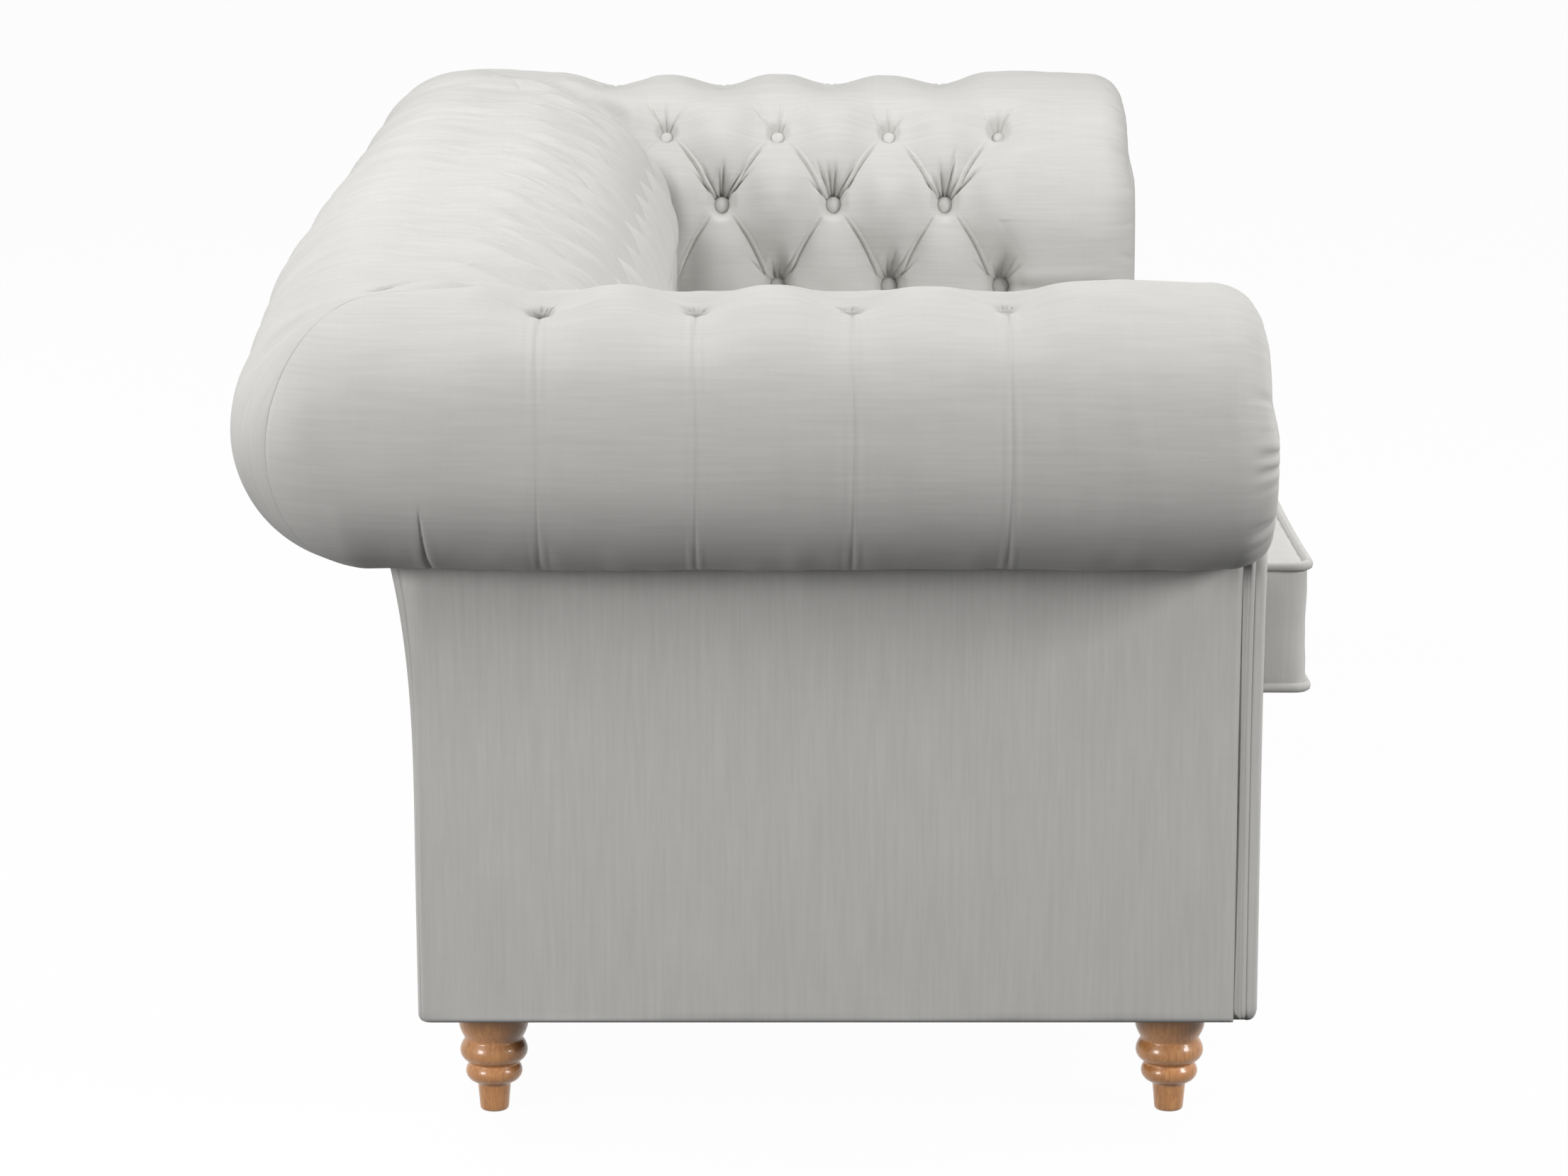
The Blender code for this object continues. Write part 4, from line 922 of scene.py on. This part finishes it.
# Front border below the cushions
border = {"bulge": 0.0030, "edge": 0.005, "step": 0.010, "uneven": 0.0006}
low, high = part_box("front_border")
size = high - low
xs = np.linspace(0, 1, int(size.x / border["step"]) + 1)
zs = np.concatenate([[0, 0.006, 0.015], np.linspace(0.03, 0.97, 22), [0.985, 0.994, 1.0]])
gridX, gridZ = np.meshgrid(xs, zs)
fromEdge = np.clip(np.minimum(gridZ, 1 - gridZ) * size.z / border["edge"], 0, 1)
roundOff = border["edge"] * (1 - np.sqrt(np.clip(1 - (1 - fromEdge) ** 2, 0, 1)))
bulge = border["bulge"] * np.sin(math.pi * gridZ) + border["uneven"] * softNoise(gridX * 24, gridZ * 2, 51)
front = np.stack([low.x + gridX * size.x, low.y + roundOff - bulge, low.z + gridZ * size.z], axis=-1)
back = front.copy()
back[..., 1] = high.y
points = np.concatenate([front.reshape(-1, 3), rimOf(back)])
faces = np.concatenate([gridFaces(len(zs), len(xs)), rimFaces(len(zs), len(xs))])
piece = clothPiece("frontBorder", points, faces, [list(range(len(zs) * len(xs), len(points)))])
upholster(piece, "frame", 0.95, "front_border")
print("front border made")


# Loose seat cushions, blown up by cloth simulation between their piped seams
cushion = {
    "cell": 0.0125,
    "boxingRows": 10,
    "corner": 0.014,
    "rearCorner": 0.008,
    "boxing": 0.121,          # height between the two piped seams
    "lowSeam": 0.006,
    "pullIn": 0.003,          # front and sides pull in between the corners
    "waist": 0.0028,          # and the boxing between its two seams
    "startCrown": 0.014,
    "quickCrown": 0.014,
    "uneven": 0.0012,
    "dome": ((0.55, 2.6), (0.45, 14)),      # shares of a round and a flat-topped crown
    "frames": 20,
    "cloth": {"quality": 6, "mass": 0.25, "tension_stiffness": 12, "compression_stiffness": 12,
              "bending_stiffness": 0.4, "shrink_min": -0.012,      # a little more cloth than filling
              "use_pressure": True, "uniform_pressure_force": 4.0, "vertex_group_mass": "seams"},
    "rise": 0.026,            # most a point of the top may lift
    "swell": 0.0035,          # most a point of the boxing may move
    "pipingRadius": 0.0046,
    "pipingStep": 0.006,
    "rearRoom": 0.0085,       # room to lift past the swell of the back and the arms
    "sideRoom": 0.0030,
    "frontRoom": 0.0030,
}


def planPoint(u, w, low, high):  # unit square to a rounded rectangle with drawn-in sides
    r = np.where(w > 0, cushion["rearCorner"], cushion["corner"])
    halfX, halfY = (high.x - low.x) / 2, (high.y - low.y) / 2
    x, y = u * halfX, w * halfY
    dx, dy = np.clip((np.abs(x) - halfX + r) / r, 0, 1), np.clip((np.abs(y) - halfY + r) / r, 0, 1)
    cornerX, cornerY = dx * np.sqrt(1 - dy * dy / 2), dy * np.sqrt(1 - dx * dx / 2)
    x = np.where((dx > 0) & (dy > 0), np.sign(x) * (halfX - r + r * cornerX), x)
    y = np.where((dx > 0) & (dy > 0), np.sign(y) * (halfY - r + r * cornerY), y)
    x = x - np.sign(u) * cushion["pullIn"] * np.abs(u) ** 3 * (1 - w ** 2)
    y = y + (w < 0) * cushion["pullIn"] * np.abs(w) ** 3 * (1 - u ** 2)
    return (low.x + high.x) / 2 + x, (low.y + high.y) / 2 + y


def boxCells(nx, ny, nz):  # points of a closed box by their grid numbers, and its faces
    index, cells = {}, []

    def spot(i, j, k):
        return index.setdefault((i, j, k), len(index))

    for k in (0, nz):
        for i in range(nx):
            for j in range(ny):
                cell = [spot(i, j, k), spot(i + 1, j, k), spot(i + 1, j + 1, k), spot(i, j + 1, k)]
                cells.append(cell if k else cell[::-1])
    for k in range(nz):
        walls = [((i, j), (i + 1, j), way) for i in range(nx) for j, way in ((0, 1), (ny, -1))]
        walls += [((i, j), (i, j + 1), way) for j in range(ny) for i, way in ((0, -1), (nx, 1))]
        for a, b, way in walls:
            cells.append([spot(*a, k), spot(*b, k), spot(*b, k + 1), spot(*a, k + 1)][::way])
    return np.array(list(index), float), cells


def blownUp(piece, held):  # where the filling presses the cloth between the points that are held
    group = piece.vertex_groups.new(name="seams")
    group.add([int(n) for n in np.nonzero(held)[0]], 1.0, "REPLACE")
    cloth = piece.modifiers.new("filling", "CLOTH")
    for setting, value in cushion["cloth"].items():
        setattr(cloth.settings, setting, value)
    cloth.settings.effector_weights.gravity = 0
    cloth.point_cache.frame_start, cloth.point_cache.frame_end = 1, cushion["frames"]
    for step in range(1, cushion["frames"] + 1):
        bpy.context.scene.frame_set(step)
    blown = piece.evaluated_get(bpy.context.evaluated_depsgraph_get()).to_mesh()
    rest = readMesh(blown.vertices, "co")
    piece.modifiers.remove(cloth)
    bpy.context.scene.frame_set(1)
    return rest


def seatCushion(name, node, body, seed):
    low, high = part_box(node)
    inset = Vector((cushion["pipingRadius"], cushion["pipingRadius"], 0))
    low = low + inset + Vector((cushion["sideRoom"] * ("left" in name), cushion["frontRoom"], 0))
    high = high - inset - Vector((cushion["sideRoom"] * ("right" in name), cushion["rearRoom"], 0))
    nx, ny = [round((high[n] - low[n]) / cushion["cell"]) for n in (0, 1)]
    nz = cushion["boxingRows"]
    key, cells = boxCells(nx, ny, nz)
    u, w, level = key[:, 0] / nx * 2 - 1, key[:, 1] / ny * 2 - 1, key[:, 2] / nz
    x, y = planPoint(u, w, low, high)
    seamLow = low.z + cushion["lowSeam"]
    seamHigh = low.z + cushion["boxing"]
    z = seamLow + level * (seamHigh - seamLow)
    rim = (np.abs(u) > 0.999) | (np.abs(w) > 0.999)
    onTop, onFloor = (level > 0.999) & ~rim, (level < 0.001) & ~rim
    onBoxing = rim & (level > 0.001) & (level < 0.999)
    dome = sum(share * (1 - np.abs(u) ** bend) * (1 - np.abs(w) ** bend) for share, bend in cushion["dome"])
    z = z + np.where(onTop, cushion["startCrown"] * dome, 0)
    z = z - np.where(onFloor, cushion["lowSeam"] * np.minimum(1, dome * 5), 0)
    waist = cushion["waist"] * np.sin(math.pi * level) * onBoxing * (w < 0.999)
    outward = np.stack([u * (np.abs(u) > 0.999), w * (np.abs(w) > 0.999), 0 * u], axis=1)
    x, y = x - waist * outward[:, 0], y - waist * outward[:, 1]
    start = np.stack([x, y, z], axis=1)
    piece = makeMesh(name, start, cells, clothMaterial)
    rest = blownUp(piece, ~(onTop | onBoxing))
    moved = rest - start
    print("   ", name, "rose", round(float(moved[onTop, 2].max()) * 1000, 1), "mm before the cap")
    limit = np.where(onTop, cushion["rise"], np.where(onBoxing, cushion["swell"], 0))
    size = np.linalg.norm(moved, axis=1)
    moved *= (limit * np.tanh(size / np.maximum(limit, 1e-6)) / np.maximum(size, 1e-9))[:, None]
    inwards = np.minimum((moved * outward).sum(axis=1) + 0.0004, 0)     # the foam core holds the boxing out
    rest = start + moved - inwards[:, None] * outward
    rest[:, 2] += onTop * dome * cushion["uneven"] * softNoise(u * 4 + 3, w * 4 + 3, seed)
    piece.data.vertices.foreach_set("co", rest.ravel())
    piece.vertex_groups.clear()
    smooth = piece.modifiers.new("smooth", "SUBSURF")
    smooth.levels = smooth.render_levels = 1
    finer = bpy.data.meshes.new_from_object(piece.evaluated_get(bpy.context.evaluated_depsgraph_get()))
    piece.modifiers.remove(smooth)
    piece.data = finer
    finer.shade_smooth()
    clothUv(piece)
    upholster(piece, body, 0.85, node)
    # piping round both seams
    edge = np.linspace(-1, 1, 160)[:-1]
    ones = np.ones(len(edge))
    loopU, loopW = np.concatenate([edge, ones, -edge, -ones]), np.concatenate([-ones, edge, ones, -edge])
    px, py = planPoint(loopU, loopW, low, high)
    for seam, z in (("Top", seamHigh), ("Low", seamLow)):
        line = evenLine(np.stack([px, py, np.full(len(px), z)], axis=1), cushion["pipingStep"])
        pipingName = "cushionPiping" + seam + name[len("seatCushion"):]
        upholster(clothPiece(pipingName, *tube(line, cushion["pipingRadius"])), body, 0)


for seed, hand in enumerate(("left", "middle", "right")):
    seatCushion("seatCushion_" + hand, "seat_cushion_" + hand, "cushion_" + hand, 60 + seed)
print("seat cushions made")


# Turned legs: a quarter-round under the base, two beads and a tapered foot, as (height, radius)
legs = {
    "profile": [(0.0997, 0.0190), (0.0995, 0.0312), (0.0960, 0.0319), (0.0830, 0.0319), (0.0790, 0.0313),
                (0.0745, 0.0297), (0.0705, 0.0276), (0.0682, 0.0264), (0.0664, 0.0272), (0.0630, 0.0292),
                (0.0595, 0.0305), (0.0562, 0.0309), (0.0528, 0.0302), (0.0495, 0.0282), (0.0465, 0.0248),
                (0.0449, 0.0224), (0.0436, 0.0231), (0.0412, 0.0247), (0.0382, 0.0257), (0.0352, 0.0257),
                (0.0322, 0.0246), (0.0292, 0.0222), (0.0266, 0.0180), (0.0252, 0.0153), (0.0240, 0.0150),
                (0.0140, 0.0141), (0.0040, 0.0133), (0.0016, 0.0129), (0.0002, 0.0118), (0.0000, 0.0090)],
    "sides": 56,
}

# Lacquered beech, turned and sprayed: honey brown, faint upright grain and flecks under a clear glossy coat
lacquer = {
    "stops": ((0.40, "#b07540"), (0.66, "#cd8d54"), (0.95, "#e0a568")),
    "patterns": (((2.2, 2.2, 38.46), {"Detail": 4.0, "Roughness": 0.6, "Distortion": 0.4}),
                 ((3.571, 3.571, 6.25), {"Detail": 1.0})),      # sizes in mm, grain and then flecks
    "fleckShare": 0.35,
    "bumpMm": 0.3,
    "bumpStrength": 0.12,
    "surface": {"Roughness": 0.38, "IOR": 1.5, "Coat Weight": 0.5, "Coat Roughness": 0.12},
}


def makeGrained(name, settings):
    material = bpy.data.materials.new(name)
    tree = emptyTree(material)
    place = addNode(tree, "TexCoord")
    tones = []
    for sizesMm, detail in settings["patterns"]:
        scale = [1000 / size for size in sizesMm]
        laid = addNode(tree, "Mapping", {"Scale": scale}, {"Vector": (place, "Object")})
        tones.append(addNode(tree, "TexNoise", {"Scale": 1.0, **detail}, {"Vector": laid}))
    tone = tones[0]
    for flecks in tones[1:]:
        blend = {"operation": "MULTIPLY_ADD", 1: settings["fleckShare"]}
        tone = addNode(tree, "Math", blend, {0: flecks, 2: tone})
    ramp = addNode(tree, "ValToRGB", links={"Fac": tone})
    setRamp(ramp, settings["stops"])
    finishSurface(tree, settings, ramp, tones[0])
    return material


legMaterial = makeGrained("lacqueredBeech", lacquer)
for end in ("front", "rear"):
    for hand in ("left", "right"):
        node = "leg_" + end + "_" + hand
        low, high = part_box(node)
        cx, cy = (low.x + high.x) / 2, (low.y + high.y) / 2
        count, sides = len(legs["profile"]), legs["sides"]
        points = []
        for z, radius in legs["profile"]:
            for n in range(sides):
                angle = 2 * math.pi * n / sides
                points.append((cx + radius * math.cos(angle), cy + radius * math.sin(angle), z))
        leg = makeMesh("turnedLeg_" + end + "_" + hand, points, gridFaces(count, sides, closed=True),
                       legMaterial, caps=endCaps(count, sides))
        faceOut(leg)
        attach(leg, "frame")
        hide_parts(node)
print("legs turned")


# Finishes of the hidden parts, seen when a cushion is lifted or from below: cut foam with open pores, sawn
# pine with long grain, zinc-plated bolts with a dull shine, darker spring wire, matt black cambric, calico.
# Name, pale and dark colour, pattern size in mm, stretch along the grain, roughness, metal and bump in mm
hidden = {
    "upholstery_foam": ("cutPolyurethaneFoam", "#e6dcc0", "#d8ccab", 3.0, 1, 0.95, 0.0, 0.4),
    "frame_timber": ("sawnPineBoards", "#c9a374", "#a9804f", 4.0, 1 / 0.06, 0.70, 0.0, 0.2),
    "zinc_steel": ("zincPlatedSteel", "#b9bbbd", "#9fa2a6", 1.5, 1, 0.35, 1.0, 0.1),
    "spring_steel": ("temperedSpringWire", "#6d6f73", "#56585c", 1.5, 1, 0.42, 1.0, 0.1),
    "black_cambric": ("blackSpunCambric", "#242425", "#2f2f31", 1.2, 1, 0.93, 0.0, 0.3),
    "platform_cloth": ("calicoPlatformCloth", "#cfcbc2", "#bdb8ae", 1.2, 1, 0.92, 0.0, 0.3),
}
hiddenMaterials = {}
for slot, (name, pale, dark, sizeMm, stretch, roughness, metallic, bumpMm) in hidden.items():
    hiddenMaterials[slot] = makeGrained(name, {
        "stops": ((0.35, dark), (0.65, pale)),
        "patterns": (((sizeMm, sizeMm, sizeMm * stretch), {"Detail": 4.0, "Roughness": 0.6}),),
        "bumpMm": bumpMm,
        "bumpStrength": 0.3,
        "surface": {"Roughness": roughness, "Metallic": metallic},
    })
slotOfNode = {
    "foam": "upholstery_foam", "core": "upholstery_foam", "bolt": "zinc_steel", "spring": "spring_steel",
    "dust_cover": "black_cambric", "deck": "platform_cloth",
}
for node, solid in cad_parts.items():
    if solid.hide_render:
        continue
    slot = next((found for word, found in slotOfNode.items() if word in node), "frame_timber")
    solid.data.materials.clear()
    solid.data.materials.append(hiddenMaterials[slot])
print("hidden parts finished")


# Pale studio floor, white to the camera, with the sofa's own soft shadow
studio = {
    "floorColour": "#444444",     # what the sofa sees
    "shadedFloor": "#efefef",     # takes the sofa's shadow
    "whiteShare": 0.972,          # how much of the floor is plain white to the eye
    "world": 0.12,
    # softboxes: watts, size, place and the spot they point to; two above, one at each end corner
    "lamps": (
        (72.0, 1.5, (0.0, 1.9, 3.2), (0.0, 0.1, 0.4)),
        (38.0, 1.5, (0.0, -1.9, 3.2), (0.0, 0.1, 0.4)),
        (96.0, 1.2, (-3.6, 3.0, 1.4), (-0.9, 0.1, 0.45)),
        (106.0, 1.2, (-2.6, -3.6, 2.0), (-0.6, -0.1, 0.5)),
        (24.0, 1.2, (3.6, 3.0, 1.4), (0.9, 0.1, 0.45)),
        (24.0, 1.2, (3.2, -3.6, 2.0), (0.6, -0.1, 0.5)),
    ),
}


def seenStraight(tree):  # one for the camera, a reflection or glass, none for the light on the sofa
    path = addNode(tree, "LightPath")
    rays = [(path, "Is Camera Ray"), (path, "Is Glossy Ray"), (path, "Is Transmission Ray")]
    seen = addNode(tree, "Math", {"operation": "MAXIMUM"}, {0: rays[0], 1: rays[1]})
    return addNode(tree, "Math", {"operation": "MAXIMUM"}, {0: seen, 1: rays[2]})


floorMaterial = bpy.data.materials.new("paleStudioFloor")
tree = emptyTree(floorMaterial)
plain = addNode(tree, "BsdfDiffuse", {"Color": toLinear(studio["floorColour"])})
shaded = addNode(tree, "BsdfDiffuse", {"Color": toLinear(studio["shadedFloor"])})
white = addNode(tree, "Emission", {"Color": (1, 1, 1, 1), "Strength": 1.0})
bright = addNode(tree, "MixShader", {0: studio["whiteShare"]}, {1: shaded, 2: white})
mixed = addNode(tree, "MixShader", links={0: seenStraight(tree), 1: plain, 2: bright})
addNode(tree, "OutputMaterial", links={"Surface": mixed})
floorPoints = [(x, y, -0.0004) for y in (-26, 26) for x in (-26, 26)]
floor = makeMesh("studioFloor", floorPoints, [(0, 1, 3, 2)], floorMaterial)

world = bpy.data.worlds.new("studioSky")
bpy.context.scene.world = world
tree = emptyTree(world)
sky = addNode(tree, "Background", {"Color": (1, 1, 1, 1), "Strength": studio["world"]})
white = addNode(tree, "Background", {"Color": (1, 1, 1, 1), "Strength": 1.0})
mixed = addNode(tree, "MixShader", links={0: seenStraight(tree), 1: sky, 2: white})
addNode(tree, "OutputWorld", links={"Surface": mixed})

for number, (watts, size, place, target) in enumerate(studio["lamps"]):
    lampData = bpy.data.lights.new("softbox" + str(number), "AREA")
    lampData.energy, lampData.size = watts, size
    lamp = bpy.data.objects.new("softbox" + str(number), lampData)
    lamp.location = place
    lamp.rotation_euler = (Vector(place) - Vector(target)).to_track_quat("Z", "Y").to_euler()
    bpy.context.scene.collection.objects.link(lamp)

# Long lens, looking along the sofa from beyond its left arm
view = {
    "lens": 117.0,
    "spot": (-5.3606, backY - 0.3645, 1.3832),
    "pitch": 78.68,
    "heading": -90.04,
    "shiftX": -0.004,
}
cameraData = bpy.data.cameras.new("photoView")
cameraData.lens, cameraData.sensor_width, cameraData.shift_x = view["lens"], 36.0, view["shiftX"]
cameraData.clip_end = 100
camera = bpy.data.objects.new("photoView", cameraData)
camera.location = view["spot"]
camera.rotation_euler = (math.radians(view["pitch"]), 0, math.radians(view["heading"]))
bpy.context.scene.collection.objects.link(camera)
bpy.context.scene.camera = camera
bpy.context.scene.view_settings.view_transform = "Standard"
